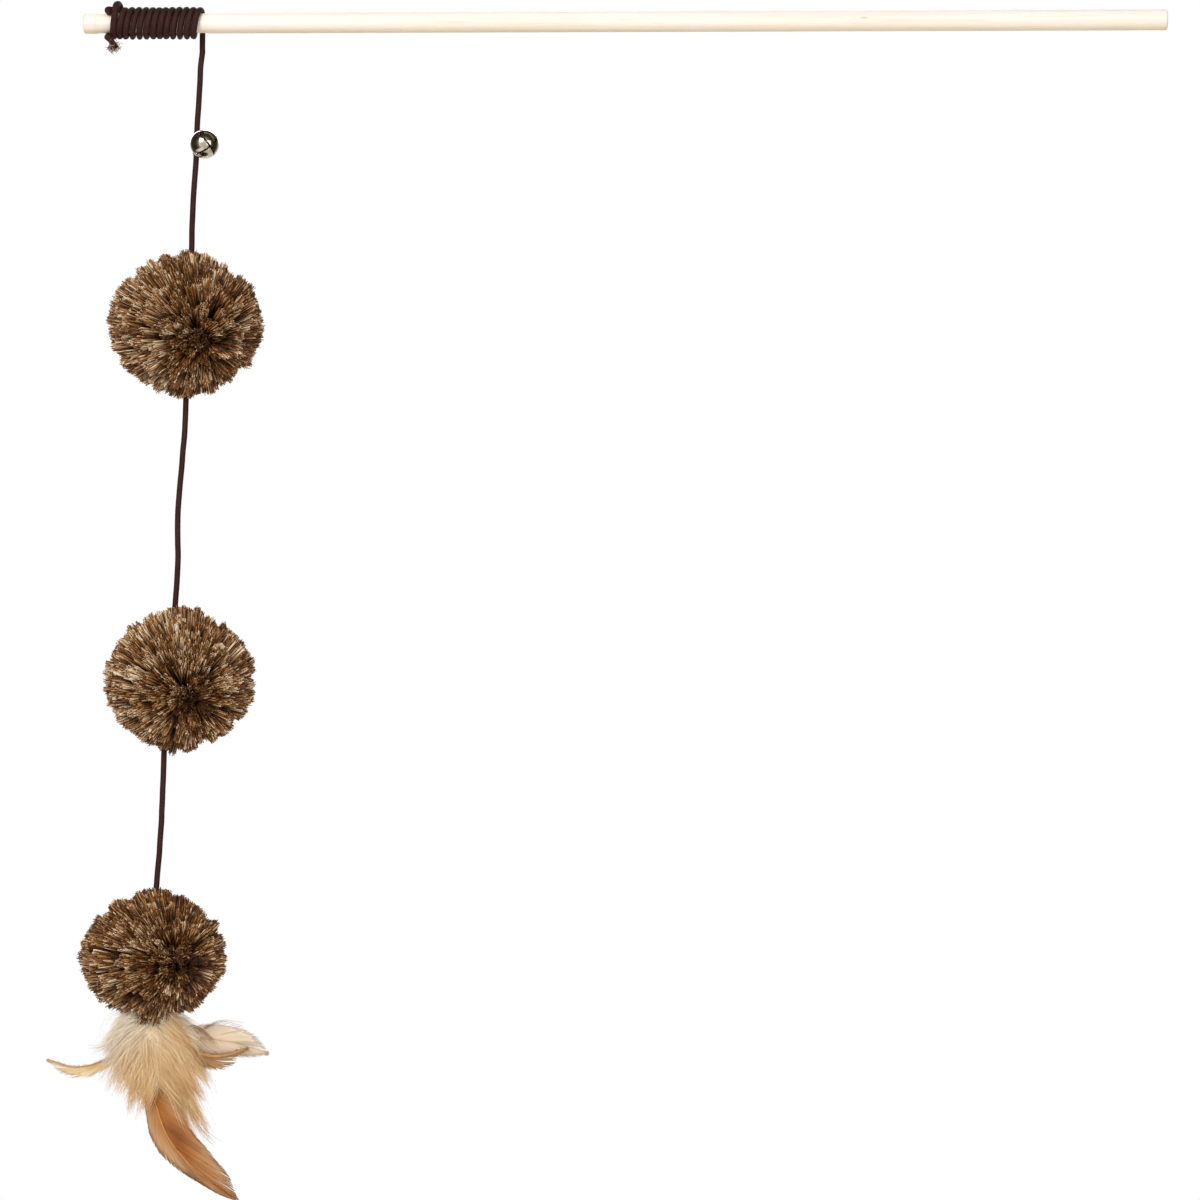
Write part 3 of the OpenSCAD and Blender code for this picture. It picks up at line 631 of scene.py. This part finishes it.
# %% Sizes and the directions of a ball's yarns
POMPOM_MM = np.array([70.8, 66, 63])
SIZE_SHARES = [[1, 1, 1], [0.97, 0.98, 1], [0.93, 0.94, 0.91]]
LEANS = [1.7, 4, 2.2]
SIDE_SHARES = [-0.02, 0.063, -0.003]
POLES = [[0.5, -0.76, -0.43], [0.34, -0.82, -0.46], [0.74, -0.65, -0.18]]
TONE_STARTS = [0.095, 0.13, 0.045]
BEND_INSET = 2 * MM
YARNS = 1404
STRANDS_A_YARN = 35
TUFTS = 330
TUFT_SPAN = 0.11
TUFT_PULL = 0.34
PARTING_DEG, PARTING_DEPTH = 17, 5.5 * MM
CORD_DEG, CORD_RISE = 15, 1.2 * MM
CORD_ROOM = 1.9 * MM
MOUTH_ROOM = 8 * MM
ORIGIN_SHARE = 0.5
ROOT_SHARE = 0.28


def directions(count, rng, jitter):
    i = np.arange(count) + 0.5
    z = 1 - 2 * i / count
    turn = math.pi * (1 + math.sqrt(5)) * i
    flat = np.sqrt(1 - z * z)
    d = np.stack([flat * np.cos(turn), flat * np.sin(turn), z], 1)
    return unit(d + rng.normal(0, jitter * 3.5 / math.sqrt(count), d.shape))


def near(cosine, degrees):
    """1 where two directions are one, given the cosine between them, and 0.37 at degrees."""
    return np.exp(-(np.degrees(np.arccos(np.clip(cosine, -1, 1))) / degrees) ** 2)


def off_axis(points, room):
    """Moves points out from the pom-pom's own axis, where the cord goes through."""
    off = np.hypot(points[:, 0], points[:, 1])
    points[:, :2] *= (np.maximum(off, room) / np.maximum(off, 1e-6))[:, None]
    return points


# %% The yarn of one pom-pom
def yarn_ball(k, rng):
    """The strands of pom-pom k from root to cut end, how light each is, and its thickness."""
    half = POMPOM_MM * SIZE_SHARES[k] / 2 * MM
    pole = unit(np.array(POLES[k], float))
    yarn = directions(YARNS, rng, 0.7)
    tuft = directions(TUFTS, rng, 0.8)
    mine = np.linalg.norm(yarn[:, None] - tuft, axis=-1).argmin(axis=1)
    parted = near(yarn @ pole, PARTING_DEG)
    off_tuft = np.linalg.norm(yarn - tuft[mine], axis=1) / TUFT_SPAN

    # a yarn is lower at its tuft's edge and in the parting, and stands up beside the cord
    low = (rng.uniform(-0.6, 1.6, TUFTS)[mine] + 1.5 * off_tuft ** 1.5
           + rng.exponential(0.5, YARNS)) * MM
    low += PARTING_DEPTH * parted
    low -= (low + CORD_RISE) * near(np.abs(yarn[:, 2]), CORD_DEG)
    aim = unit(yarn + (tuft[mine] - yarn) * TUFT_PULL + rng.normal(0, 0.03, yarn.shape))
    yarn_tip = aim * (half - low[:, None])
    origin = pole * half.mean() * ORIGIN_SHARE
    yarn_root = origin + (yarn_tip - origin) * ROOT_SHARE
    # random tone, plus painted shade that darkens the parting and each tuft's edge, and painted
    # light that lightens the yarns on the left
    yarn_tone_and_painted_light = (rng.normal(0, 0.12, YARNS) + rng.normal(0, 0.08, TUFTS)[mine] - 0.42 * parted
                 + 0.09 * (yarn[:, 0] < -0.2) - 0.07 * off_tuft)

    # its strands fill a disc that is wider at the cut end than at the root
    of = np.repeat(np.arange(YARNS), STRANDS_A_YARN)
    count = len(of)
    ahead = unit(yarn_tip - yarn_root)[of]
    u = unit(np.cross(ahead, [0.31, 0.77, 0.55]))
    v = np.cross(ahead, u)
    turn = rng.uniform(0, 2 * math.pi, count)
    spot = np.sqrt(rng.uniform(0, 1, count))
    disc = (np.cos(turn) * spot)[:, None] * u + (np.sin(turn) * spot)[:, None] * v
    brush = rng.uniform(1.0, 2.1, YARNS)[of, None] * MM
    short = rng.exponential(0.9, count) + 0.7 * spot ** 2
    tip = yarn_tip[of] + disc * brush - ahead * short[:, None] * MM
    tip += rng.normal(0, 0.3 * MM, (count, 3))
    root = yarn_root[of] + disc * brush * 0.25 + rng.normal(0, 0.95 * MM, (count, 3))
    tip, root = off_axis(tip, CORD_ROOM), off_axis(root, CORD_ROOM)
    if k == 2:
        # the last ball opens below, where the feathers come out
        mouth = tip[:, 2] < -0.55 * half[2]
        tip[mouth] = off_axis(tip[mouth], MOUTH_ROOM)
        root[mouth] = off_axis(root[mouth], MOUTH_ROOM * 0.5)
    tone = rng.uniform(0, 1, count) * 0.85 + TONE_STARTS[k] + yarn_tone_and_painted_light[of]
    thick = rng.uniform(0.12, 0.26, count) * MM

    # from the ball's own frame to its place on the leaning cord
    lean = math.radians(LEANS[k])
    leaning = np.array([[math.cos(lean), 0, math.sin(lean)], [0, 1, 0],
                        [-math.sin(lean), 0, math.cos(lean)]])
    middle = bend[f"pompom_{k + 1}_swing"] - leaning[:, 2] * (half[2] - BEND_INSET)
    side = np.array([SIDE_SHARES[k] * POMPOM_MM[0] * MM, 0, 0])
    return (np.stack([root, tip], 1) + side) @ leaning.T + middle, tone, thick


# %% Mottled yarn
f = Finish("mottled_yarn")
ply = f.ramp(f.mark("tone"), (0.14, (0.03, 0.008, 0.0018)), (0.42, (0.15, 0.048, 0.01)),
             (0.6, (0.36, 0.145, 0.036)), (0.77, (0.61, 0.355, 0.15)), (0.95, (0.92, 0.76, 0.54)))
fleck = f.noise(1100, detail=2)
colour = f.mix(fleck * 0.25, ply, (0.26, 0.12, 0.04))
# painted shade: each strand gets darker towards its root, deep inside the ball
root = f.ramp(f.mark("along"), (0.3, (0.06, 0.035, 0.018)), (0.62, (0.36, 0.26, 0.18)),
              (0.9, (1, 1, 1)))
mottled_yarn = f.surface(
    Base_Color=f.mix(1.0, colour, root, "MULTIPLY"), Roughness=0.5, Specular_IOR_Level=0.25,
    Normal=f.bump(fleck, 0.03 * MM, 0.4))

# %% Make the three pom-poms
for k in range(3):
    rng = np.random.default_rng(100 + k)
    lines, tone, thick = yarn_ball(k, rng)
    half_count = len(lines) // 2
    for layer, part in enumerate((slice(None, half_count), slice(half_count, None))):
        radii = np.stack([thick * 0.8, thick], 1)[part]
        piece = strands(f"pompom_{k + 1}_yarn_{layer + 1}", lines[part], radii,
                        unit(rng.normal(0, 1, (len(radii), 3))), tone=tone[part])
        settle(piece, f"pompom_{k + 1}",
               None if layer else f"pompom_{k + 1}_pile", mottled_yarn)
    print("pom-pom", k + 1, "has", len(lines), "strands")

# %% [markdown]
# ## The feathers
# Four feathers have a shaft with a vane on each side, and round them stands loose down. A vane
# is made of barbs, thin flat branches that leave the shaft at a slant and lie against each
# other. Each barb is one flattened prism. It starts on the shaft, bends forwards and ends on
# the vane's outline. Here and there neighbours part, which gives the small splits. The tables
# hold places in millimetres from the top of the bunch: across, down, and the vane's width on
# the right and on the left.

# %% The shaft's line and the vane's widths
BUNCH = bend["feathers_swing"]
binding_low, binding_high = (np.array(v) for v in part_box("quill_binding"))
QUILL_RING = (binding_high[0] - binding_low[0]) / 2 - 0.9 * MM


def shaft_line(slot, depth_mm, rows, rings):
    """Evenly spaced places on the shaft, with the share of the way and the two widths there."""
    turn = math.radians(270 + 360 * slot / 7)
    quill = BUNCH[:2] + QUILL_RING * np.array([math.cos(turn), math.sin(turn)])
    points = [[*quill, binding_high[2] - 0.5 * MM], [*quill, binding_low[2] - 0.5 * MM]]
    widths = [[0.2, 0.2], [0.2, 0.2]]
    for across, down, right, left in rows:
        eased = min(1, 4.5 * down / 82)
        points.append(BUNCH + np.array([across, depth_mm * eased, -down]) * MM)
        widths.append([right, left])
    line = smooth_line(points, 0.1 * MM)
    keys = [int(np.argmin(np.linalg.norm(line - p, axis=1))) for p in points]
    wide = between(np.array(widths), np.arange(len(line)), keys) * MM
    pick = np.linspace(0, len(line) - 1, rings)
    right, left = between(wide, pick).T
    return between(line, pick), right, left, keys[2] / (len(line) - 1)


# %% A feather
SHAFT_PLACES = 240
SHAFT_RINGS = 90
BARB_TAPER = np.array([0.7, 1.0, 1.05, 1.05, 1.0, 0.8, 0.3])
BARB_BEND = 0.42
VANE_END = 0.985
PARTING_CHANCE = 0.045


def feather(name, node, finishes, slot, depth_mm, rows, barbs, slant, camber_mm,
            shaft_mm, seed, loose=0.0, barb_mm=0.24, rough_mm=0.28):
    """Two vanes of barbs as one piece, and the shaft. slant is how far along the feather a barb
    reaches, in widths, camber_mm how far back the edges bend, and loose how ragged they are."""
    rng = np.random.default_rng(seed)
    line, right, left, vane_start = shaft_line(slot, depth_mm, rows, SHAFT_PLACES)
    last = len(line) - 1
    ahead = unit(np.gradient(line, axis=0))
    length = np.linalg.norm(np.diff(line, axis=0), axis=1).sum()
    backwards = np.array([0, 1.0, 0])
    side_of = unit(np.cross(ahead, backwards))
    along = np.linspace(0, 1, len(BARB_TAPER))
    halves = []
    for sign, width in ((1, right), (-1, left)):
        start = np.interp(np.arange(barbs) + rng.uniform(0, 1, barbs), [0, barbs],
                          [vane_start * 0.9, VANE_END])
        clump = np.cumsum(rng.uniform(0, 1, barbs) < PARTING_CHANCE)
        part = rng.normal(0, 1, clump.max() + 1)[clump]
        wide = np.interp(start * last, np.arange(last + 1), width)
        forward = (slant * wide / length * (1 + 0.005 * part + rng.normal(0, 0.012, barbs))
                   + 0.012)
        end = np.minimum(start + forward, 1.0)
        end_wide = np.interp(end * last, np.arange(last + 1), width)
        tip_share = 1 - loose * np.abs(rng.normal(0, 0.5, barbs)) - 0.02 * np.abs(part)
        tip_wide = end_wide * np.clip(tip_share, 0.3, 1.05)
        bent = (camber_mm + 0.25 * part * (1 + 3 * loose)) * tip_wide / np.max(width) * MM
        tip = (between(line, end * last) + sign * between(side_of, end * last) * tip_wide[:, None]
               + backwards * bent[:, None])
        middle = (start + (end - start) * BARB_BEND) * last
        mid = between(line, middle) + sign * between(side_of, middle) * (
            0.62 * np.minimum(end_wide, wide + 2 * MM))[:, None]
        mid += backwards * (0.28 * camber_mm * MM)
        curve = bowed(between(line, start * last), mid, tip, along[None, :, None])
        curve[:, -1] += rng.normal(0, rough_mm + 0.5 * loose, (barbs, 3)) * [1, 0.5, 1] * MM
        radii = barb_mm * MM * rng.uniform(0.75, 1.15, barbs)[:, None] * BARB_TAPER
        tone = np.clip(0.5 + 0.16 * part + rng.normal(0, 0.15, barbs), 0, 1)
        place = start[:, None] + (end - start)[:, None] * along
        halves.append((curve, radii, tone, place, np.full((barbs, 1), sign) * along))
    curves, radii, tone, place, edge = (np.concatenate(both) for both in zip(*halves))
    vane = strands(name, curves, radii, between(ahead, place[:, 0] * last), sides=4,
                   flatness=0.28, smooth=True, tone=tone, place=place, edge=edge)
    share = np.linspace(0, 1, SHAFT_RINGS)
    shaft_r = shaft_mm * MM * (1 - 0.86 * share ** 0.8)
    shaft = strands(name + "_shaft", between(line, share * last)[None], shaft_r[None],
                    np.array([[1.0, 0, 0.2]]), sides=8, smooth=True)
    settle(vane, "feathers", node, finishes[0])
    settle(shaft, "feathers", None, finishes[1])


# %% Feather finishes
def vane_finish(name, stops_right, stops_left, tip_tint, streak=0.35, patches=()):
    """The colour changes from the shaft to each edge, along the feather and from barb to barb.
    A patch is a tint, with its middle and half its length along the feather, and its side."""
    f = Finish(name)
    edge, place, tone = f.mark("edge"), f.mark("place"), f.mark("tone")
    right = f.ramp(edge, *stops_right)
    left = f.ramp(edge * -1, *stops_left)
    colour = f.mix((edge * 40).clamp(), left, right)
    mottle = f.noise(220, detail=3)
    lighter = f.ramp(tone * 0.7 + mottle * 0.3, (0.25, (0.62, 0.58, 0.54)), (0.5, (1, 1, 1)),
                     (0.8, (1.28, 1.3, 1.34)))
    colour = f.mix(streak * 2, colour, lighter, "MULTIPLY")
    for tint, middle, half, side in patches:
        off = (place + mottle * 0.08 - middle) / half
        within = (1 - off ** 2).clamp() * (edge * (8 * side)).clamp()
        colour = f.mix(within, colour, tint, "MULTIPLY")
    near_tip = ((place - 0.72) * 3.6).clamp()
    colour = f.mix(near_tip * 0.75, colour, tip_tint)
    return f.surface(Base_Color=colour, Roughness=0.6, Specular_IOR_Level=0.3,
                     Sheen_Weight=0.1, Sheen_Roughness=0.4)


rust = vane_finish(
    "rust_feather",
    [(0.0, (0.3, 0.1, 0.015)), (0.3, (0.32, 0.115, 0.02)), (0.62, (0.42, 0.19, 0.065)),
     (1.0, (0.58, 0.36, 0.2))],
    [(0.0, (0.36, 0.14, 0.032)), (0.35, (0.41, 0.19, 0.066)), (0.75, (0.48, 0.27, 0.13)),
     (1.0, (0.32, 0.13, 0.04))],
    (0.29, 0.105, 0.022),
    patches=[((0.74, 0.56, 0.36), 0.66, 0.12, 1), ((0.72, 0.74, 0.78), 0.84, 0.07, -1)])
tan = vane_finish(
    "tan_feather",
    [(0.0, (0.36, 0.17, 0.055)), (0.6, (0.5, 0.28, 0.11)), (1.0, (0.38, 0.18, 0.06))],
    [(0.0, (0.32, 0.155, 0.055)), (1.0, (0.46, 0.26, 0.115))],
    (0.42, 0.24, 0.1))
straw = vane_finish(
    "straw_feather",
    [(0.0, (0.46, 0.27, 0.1)), (0.4, (0.64, 0.44, 0.22)), (1.0, (0.76, 0.58, 0.36))],
    [(0.0, (0.46, 0.27, 0.1)), (1.0, (0.6, 0.4, 0.2))],
    (0.6, 0.39, 0.18))
pale = vane_finish(
    "pale_feather",
    [(0.0, (0.62, 0.46, 0.31)), (0.6, (0.68, 0.53, 0.38)), (1.0, (0.78, 0.64, 0.49))],
    [(0.0, (0.6, 0.44, 0.3)), (0.6, (0.66, 0.51, 0.37)), (1.0, (0.6, 0.43, 0.28))],
    (0.7, 0.56, 0.41), 0.25)

SHAFT = dict(scale=900, pull=0.2, rough=0.4, shine=0.5, depth_mm=0.02, strength=0.4)
orange_shaft = fibre_finish("orange_shaft", (0.52, 0.17, 0.035), (0.72, 0.3, 0.08), **SHAFT)
brown_shaft = fibre_finish("brown_shaft", (0.22, 0.1, 0.035), (0.36, 0.18, 0.07), **SHAFT)

# %% Make the four feathers
MAIN_ROWS = [
    [0.25, 18, 1.6, 1.6], [0.65, 33.6, 4.1, 3.3], [3.3, 41.8, 6.9, 5.2], [6.3, 50.8, 9.4, 7.0],
    [10.7, 58.6, 10, 7.0], [17.1, 65.9, 10, 5.3], [24.5, 72.4, 9, 3.5], [31.9, 78.1, 6.6, 1.9],
    [38.9, 82.2, 0.5, 0.4]]
TAN_ROWS = [
    [6.3, 10.7, 1, 1.2], [12, 15.1, 1.6, 2.5], [17.1, 18.1, 1.6, 3.7], [23.7, 20.5, 1.6, 5.2],
    [30.2, 21, 1.5, 5.4], [35.5, 19.8, 1.1, 4.6], [38.4, 18.7, 0.9, 1.2], [42.3, 16.9, 0.3, 0.3]]
PALE_ROWS = [
    [7.6, 9.4, 1, 1], [12.8, 11.2, 2.9, 2.9], [19.4, 12.5, 5.7, 5.7], [28, 13.4, 7.2, 7.2],
    [36.7, 14.7, 7.2, 6.6], [44.1, 16.9, 5.7, 4.5], [48.4, 18.1, 2.9, 2.5], [51, 19.3, 0.4, 0.4]]
LEFT_ROWS = [
    [-4.6, 11.6, 0.8, 0.6], [-9.8, 16.8, 2.5, 0.7], [-15.4, 20.3, 3.2, 0.6],
    [-21.9, 23.4, 4.2, 0.6], [-27.1, 25.1, 5.0, 0.5], [-32.8, 25.5, 5.0, 0.5],
    [-38.5, 24.3, 4.2, 0.4], [-41.9, 23.1, 2.4, 0.3], [-44.5, 22.3, 0.3, 0.2]]

feather("long_rust_vane", "main_feather", (rust, orange_shaft), 1, -2.9,
        MAIN_ROWS, barbs=470, slant=3.0, camber_mm=1.5, shaft_mm=0.4, seed=21, rough_mm=0.1)
feather("curled_tan_vane", "tan_feather", (tan, brown_shaft), 2, -0.9,
        TAN_ROWS, barbs=260, slant=2.6, camber_mm=0.8, shaft_mm=0.3, seed=22, loose=0.25)
feather("broad_pale_vane", "pale_feather", (pale, pale), 3, 1.1, PALE_ROWS,
        barbs=330, slant=2.0, camber_mm=1.2, shaft_mm=0.26, seed=23, loose=0.15, barb_mm=0.16)
feather("slim_straw_vane", "left_feather", (straw, brown_shaft), 6, -0.9,
        LEFT_ROWS, barbs=240, slant=3.0, camber_mm=0.6, shaft_mm=0.26, seed=24, loose=0.3,
        barb_mm=0.15)
print("four feathers with their shafts")

# %% [markdown]
# ## The down
# Down has no vane. Its barbs are soft hairs that flow away from the shaft and cling together
# in small pointed tufts. Each tuft is a bent line from the shaft to a place on the plume's
# fringe. Its hairs spread round that line, come together again at the tip, and a few stray.

# %% Make a plume
HAIR_TAPER = np.array([1, 1, 0.95, 0.9, 0.7, 0.25])
FULL_LENGTH = 2, 5
STRAY_CHANCE = 0.1
WHITE_OVER = 20 * MM


def plume(name, node, finish, seed, fringe_mm, stem_mm, tufts, hairs, rise_mm,
          depth_mm, spread_mm=1.6, hair_mm=0.075):
    """A tuft leaves the stem rise_mm above its tip on the fringe, or from the stem's top. Two
    tufts in five reach the fringe, and the others stop short and lie over them."""
    rng = np.random.default_rng(seed)
    fringe = smooth_line(np.insert(np.array(fringe_mm, float), 1, 0, axis=1), 0.5)
    pick = (np.arange(tufts) + rng.uniform(0, 1, tufts)) / tufts * (len(fringe) - 1)
    edge = fringe[pick.astype(int)] + rng.normal(0, 0.7, (tufts, 3))
    top, foot = np.array(stem_mm, float)
    down = (edge[:, 2] + rng.uniform(*rise_mm, tufts) - top[1]) / (foot[1] - top[1])
    root = np.insert(top + (foot - top) * np.clip(down, 0, 1)[:, None], 1, 0, axis=1)
    root += (rng.normal(0, 1, (tufts, 3)) * [spread_mm, 0.8, 1.2]
             + (edge - root) * rng.uniform(0, 0.16, (tufts, 1)))
    inward = np.where(np.arange(tufts) % FULL_LENGTH[1] < FULL_LENGTH[0], 1,
                      1 - 0.62 * rng.uniform(0, 1, tufts) ** 1.2)
    tip = root + (edge - root) * inward[:, None]
    depth = rng.uniform(*depth_mm, tufts)
    root[:, 1] = np.mean(depth_mm) * 0.5
    tip[:, 1] = depth
    bulge = root + (tip - root) * [0.55, 0.5, 0.46] + rng.normal(0, 0.9, (tufts, 3))
    bulge[:, 1] = depth * 1.15

    of = np.repeat(np.arange(tufts), hairs)
    count = len(of)
    reach = rng.uniform(0.3, 1.0, count) ** 0.4
    t = np.linspace(0, 1, len(HAIR_TAPER))[None, :, None] * reach[:, None, None]
    stray = np.where(rng.uniform(0, 1, count) < STRAY_CHANCE, 2.4, 1.0)
    width = (1.0 + 4.2 * t * (1 - t) + 0.12 * t) * stray[:, None, None]
    wave = np.sin(t * rng.uniform(3, 7, count)[:, None, None] + rng.uniform(0, 6.3, (count, 1, 3)))
    apart = rng.normal(0, 0.62, (count, 1, 3)) * [1, 0.8, 1] * width
    lines = (bowed(root[of], bulge[of], tip[of], t) + apart + wave * 0.3 * t) * MM + BUNCH
    radii = hair_mm * MM * rng.uniform(0.7, 1.25, count)[:, None] * HAIR_TAPER
    across, height = (lines[..., i] - BUNCH[i] for i in (0, 2))
    white = np.clip(0.2 - across / WHITE_OVER + (height + 16 * MM) / WHITE_OVER, 0, 1)
    hint = unit(rng.normal(0, 1, (count, 3)))
    tone = np.clip(rng.normal(0.5, 0.17, tufts)[of] + rng.normal(0, 0.1, count), 0, 1)
    piece = strands(name, lines, radii, hint, smooth=True, tone=tone, white=white)
    settle(piece, "feathers", node, finish)


# %% Down finish
def down_finish(name, root, body, tip):
    f = Finish(name)
    tone, along, white = f.mark("tone"), f.mark("along"), f.mark("white")
    colour = f.ramp(along * 0.8 + tone * 0.3, (0.15, root), (0.6, body), (1.0, tip))
    colour = f.mix(white * 0.7, colour, (1.0, 0.96, 0.88))
    lighter = f.ramp(tone, (0.2, (0.9, 0.88, 0.85)), (0.8, (1.03, 1.03, 1.04)))
    colour = f.mix(0.8, colour, lighter, "MULTIPLY")
    # a faint glow stands for the light that comes through from behind
    return f.surface(Base_Color=colour, Roughness=0.75, Specular_IOR_Level=0.2,
                     Emission_Color=(1.0, 0.74, 0.45), Emission_Strength=0.035)


cream_down = down_finish("cream_down", (0.95, 0.81, 0.61), (0.93, 0.71, 0.4), (0.7, 0.38, 0.15))
white_down = down_finish("white_down", (0.99, 0.94, 0.83), (0.98, 0.9, 0.75), (0.93, 0.77, 0.54))

# %% A soft body under each thick plume
THINNER_UNDER_MM = 9


def down_body(name, finish, rows_mm, depth_mm, thick_mm):
    """rows_mm: how far down, the middle across and half the width there."""
    down, middle, half = np.array(rows_mm, float).T
    bm = bmesh.new()
    bmesh.ops.create_uvsphere(bm, u_segments=56, v_segments=40, radius=1)
    at = np.array([v.co for v in bm.verts])
    z = (down[0] + down[-1]) / 2 + at[:, 2] * (down[-1] - down[0]) / 2
    off = np.sqrt(np.maximum(1 - at[:, 2] ** 2, 1e-9))
    wide = np.interp(z, down, half) * np.minimum(1, off * 1.6)
    turn = np.arctan2(at[:, 1], at[:, 0])
    ripple = 1 + 0.05 * np.sin(turn * 9 + z * 0.5) + 0.03 * np.sin(turn * 17 - z * 0.9)
    thick = thick_mm * np.minimum(1, wide / THINNER_UNDER_MM)
    placed = np.stack([np.interp(z, down, middle) + wide * np.cos(turn) * ripple,
                       depth_mm + thick * np.sin(turn) * ripple, -z], 1)
    pole = off < 1e-4
    placed[pole, 0] = np.interp(z[pole], down, middle)
    for v, place in zip(bm.verts, placed * MM + BUNCH):
        v.co = place
    for face in bm.faces:
        face.smooth = True
    bmesh.ops.recalc_face_normals(bm, faces=list(bm.faces))
    settle(add_object(name, as_mesh(name, bm)), "feathers", None, finish)


f = Finish("soft_down")
flow = f.noise(700, (1, 1, 0.12), detail=3)
colour = f.ramp(flow, (0.35, (0.86, 0.66, 0.39)), (0.6, (0.95, 0.81, 0.57)))
soft_down = f.surface(Base_Color=colour, Roughness=0.85, Specular_IOR_Level=0.1,
                      Normal=f.bump(flow, 0.2 * MM, 0.7))
down_body("soft_front", soft_down,
          [[2, 0, 2], [6, 0, 7], [12, 0, 10], [18, 0, 11.5], [23, 0.5, 11], [27, 1, 9],
           [31, 1.5, 6], [34, 2, 2]], -2.2, 1.7)
down_body("soft_back", soft_down,
          [[8, 1, 2], [14, 3, 6], [22, 5, 9], [29, 8, 9.5], [35, 10, 7.5], [40, 12, 4.5],
           [44, 14, 1.5]], 1.7, 1.1)

# %% Make the plumes
plume("down_in_front", "down_front", cream_down, 31,
      [[-15, -5], [-17, -11], [-19, -18], [-21.5, -27], [-21, -32], [-17, -36.5], [-12, -40],
       [-8, -44.5], [-4.5, -48.5], [0, -41], [5, -38], [10, -40], [15, -44], [20, -43], [23, -39.5],
       [26, -33], [22, -26], [19.5, -18], [17, -11], [15, -5]],
      [[0, -1], [2.2, -22]], 140, 36, (20, 36), (-7.5, -2.2), 2.8)
plume("down_behind", "down_back", cream_down, 32,
      [[-13, -30], [-8, -40], [4, -46], [12, -51], [19, -56], [26, -57.5], [25, -50], [24, -43],
       [26.5, -35], [27, -28], [25, -20]],
      [[0, -2], [7, -30]], 92, 36, (20, 34), (-0.5, 4), 2.6)
plume("down_on_the_left", "down_left", white_down, 33,
      [[-10, -3], [-14, -6.5], [-15.5, -11], [-17.5, -15], [-23, -18.5], [-19, -21.5],
       [-18.5, -26], [-14, -27]],
      [[-2, -1], [-8, -10]], 60, 30, (8, 16), (-4.5, 3.5))
plume("down_on_the_right", None, white_down, 34,
      [[11, -3.5], [16, -6.5], [21, -9.5], [23, -14], [22, -19], [19, -21], [14, -22]],
      [[2, -1], [10, -9]], 50, 30, (7, 14), (-4.5, 3.5))
print("four plumes")

# %% Single dark barbs that have come loose
LOOSE_MM = [
    [[14, 1, -11], [18, 0, -8.4], [21.4, -0.5, -8.5], [23.6, -0.8, -10.2], [26.6, -1, -12.8],
     [27.9, -1, -15.9]],
    [[16, 1.5, -13], [20, 1, -10.5], [24, 1, -8], [28, 1, -5.9], [33, 1, -5.4], [40, 1, -7]],
    [[15, -2, -9], [19, -2.4, -7.2], [23, -2.6, -8.6], [25.2, -2.6, -11.4], [26, -2.4, -14]],
    [[-13, -2, -14], [-17, -2.5, -15], [-21, -2.5, -17], [-25.5, -2, -17.4]],
    [[12, 1, -34], [17, 1, -42], [21, 1, -50], [25, 1, -55], [28.5, 1, -57.6]]]
LOOSE_EACH = 7
share = np.linspace(0, 1, 14)
loose_rng = np.random.default_rng(41)
loose_lines = []
for places in LOOSE_MM:
    line = smooth_line(places, 0.5)
    line = between(line, share * (len(line) - 1))
    for _ in range(LOOSE_EACH):
        drift = (loose_rng.normal(0, 0.35, 3)
                 + loose_rng.normal(0, 0.9, 3) * share[:, None] ** 2)
        loose_lines.append(line + drift)
loose_lines = np.array(loose_lines) * MM + BUNCH
loose_r = 0.085 * MM * (1 - 0.7 * share ** 2) + np.zeros((len(loose_lines), 1))
loose_barbs = strands("loose_barbs", loose_lines, loose_r,
                      unit(loose_rng.normal(0, 1, (len(loose_lines), 3))), sides=4, smooth=True)
settle(loose_barbs, "feathers", None, brown_shaft)
print(len(loose_lines), "loose barbs")

# %% [markdown]
# ## Light, background and floor
# Plain soft light: a large lamp in front on the left, a weaker one on the right, one behind for
# the views from there, and an even white surrounding. The background is white because the world
# is white to the camera. Metal mirrors the room round the table instead, which is pale in front
# and behind and dark to the sides, above and below.

# %% Lamps
for name, at, size, power in (("key", (-1.1, -1.9, 0.9), 1.0, 40),
                              ("fill", (1.2, -1.8, 0.1), 1.4, 16),
                              ("back", (-0.5, 1.9, 0.9), 1.4, 26)):
    data = bpy.data.lights.new(name, "AREA")
    data.energy, data.size = power, size
    piece = add_object(name, data)
    piece.location = at
    piece.rotation_euler = (AIM - Vector(at)).to_track_quat("-Z", "Y").to_euler()

# %% The world
AMBIENT = 0.42
sky = Finish("white", bpy.data.worlds.new("white"))
bpy.context.scene.world = sky.material
rays = {kind: Number(sky, socket) for kind, socket
        in sky.node("ShaderNodeLightPath").outputs.items()}
mirrored = rays["Is Glossy Ray"]
seen = rays["Is Camera Ray"].do("MAXIMUM", mirrored.do("MAXIMUM", rays["Is Transmission Ray"]))
strength = sky.node("ShaderNodeMapRange", None, {"Value": seen, "To Min": AMBIENT})
looks = sky.node("ShaderNodeSeparateXYZ", None, [sky.coordinates.outputs["Generated"]])
walls = sky.ramp(Number(sky, looks.outputs["Y"]).do("ABSOLUTE"), (0.42, (0.05, 0.045, 0.035)),
                 (0.72, (0.2, 0.19, 0.16)), (0.8, (0.95, 0.95, 0.93)))
glow = sky.node("ShaderNodeBackground", None, {
    "Color": sky.mix(mirrored, (1, 1, 1), walls), "Strength": Number(sky, strength.outputs[0])})
sky.node("ShaderNodeOutputWorld", None, {"Surface": glow.outputs[0]})

# %% The floor
bm = bmesh.new()
bmesh.ops.create_circle(bm, cap_ends=True, segments=96, radius=0.8)
bmesh.ops.translate(bm, verts=list(bm.verts), vec=(-0.3, 0, -0.62))
floor = add_object("floor", as_mesh("floor", bm))
dress(Finish("floor_white").surface(Base_Color=(0.9, 0.9, 0.9), Roughness=0.9), floor)

bpy.context.scene.view_settings.view_transform = "Standard"
print("three lamps, a white world and a floor")
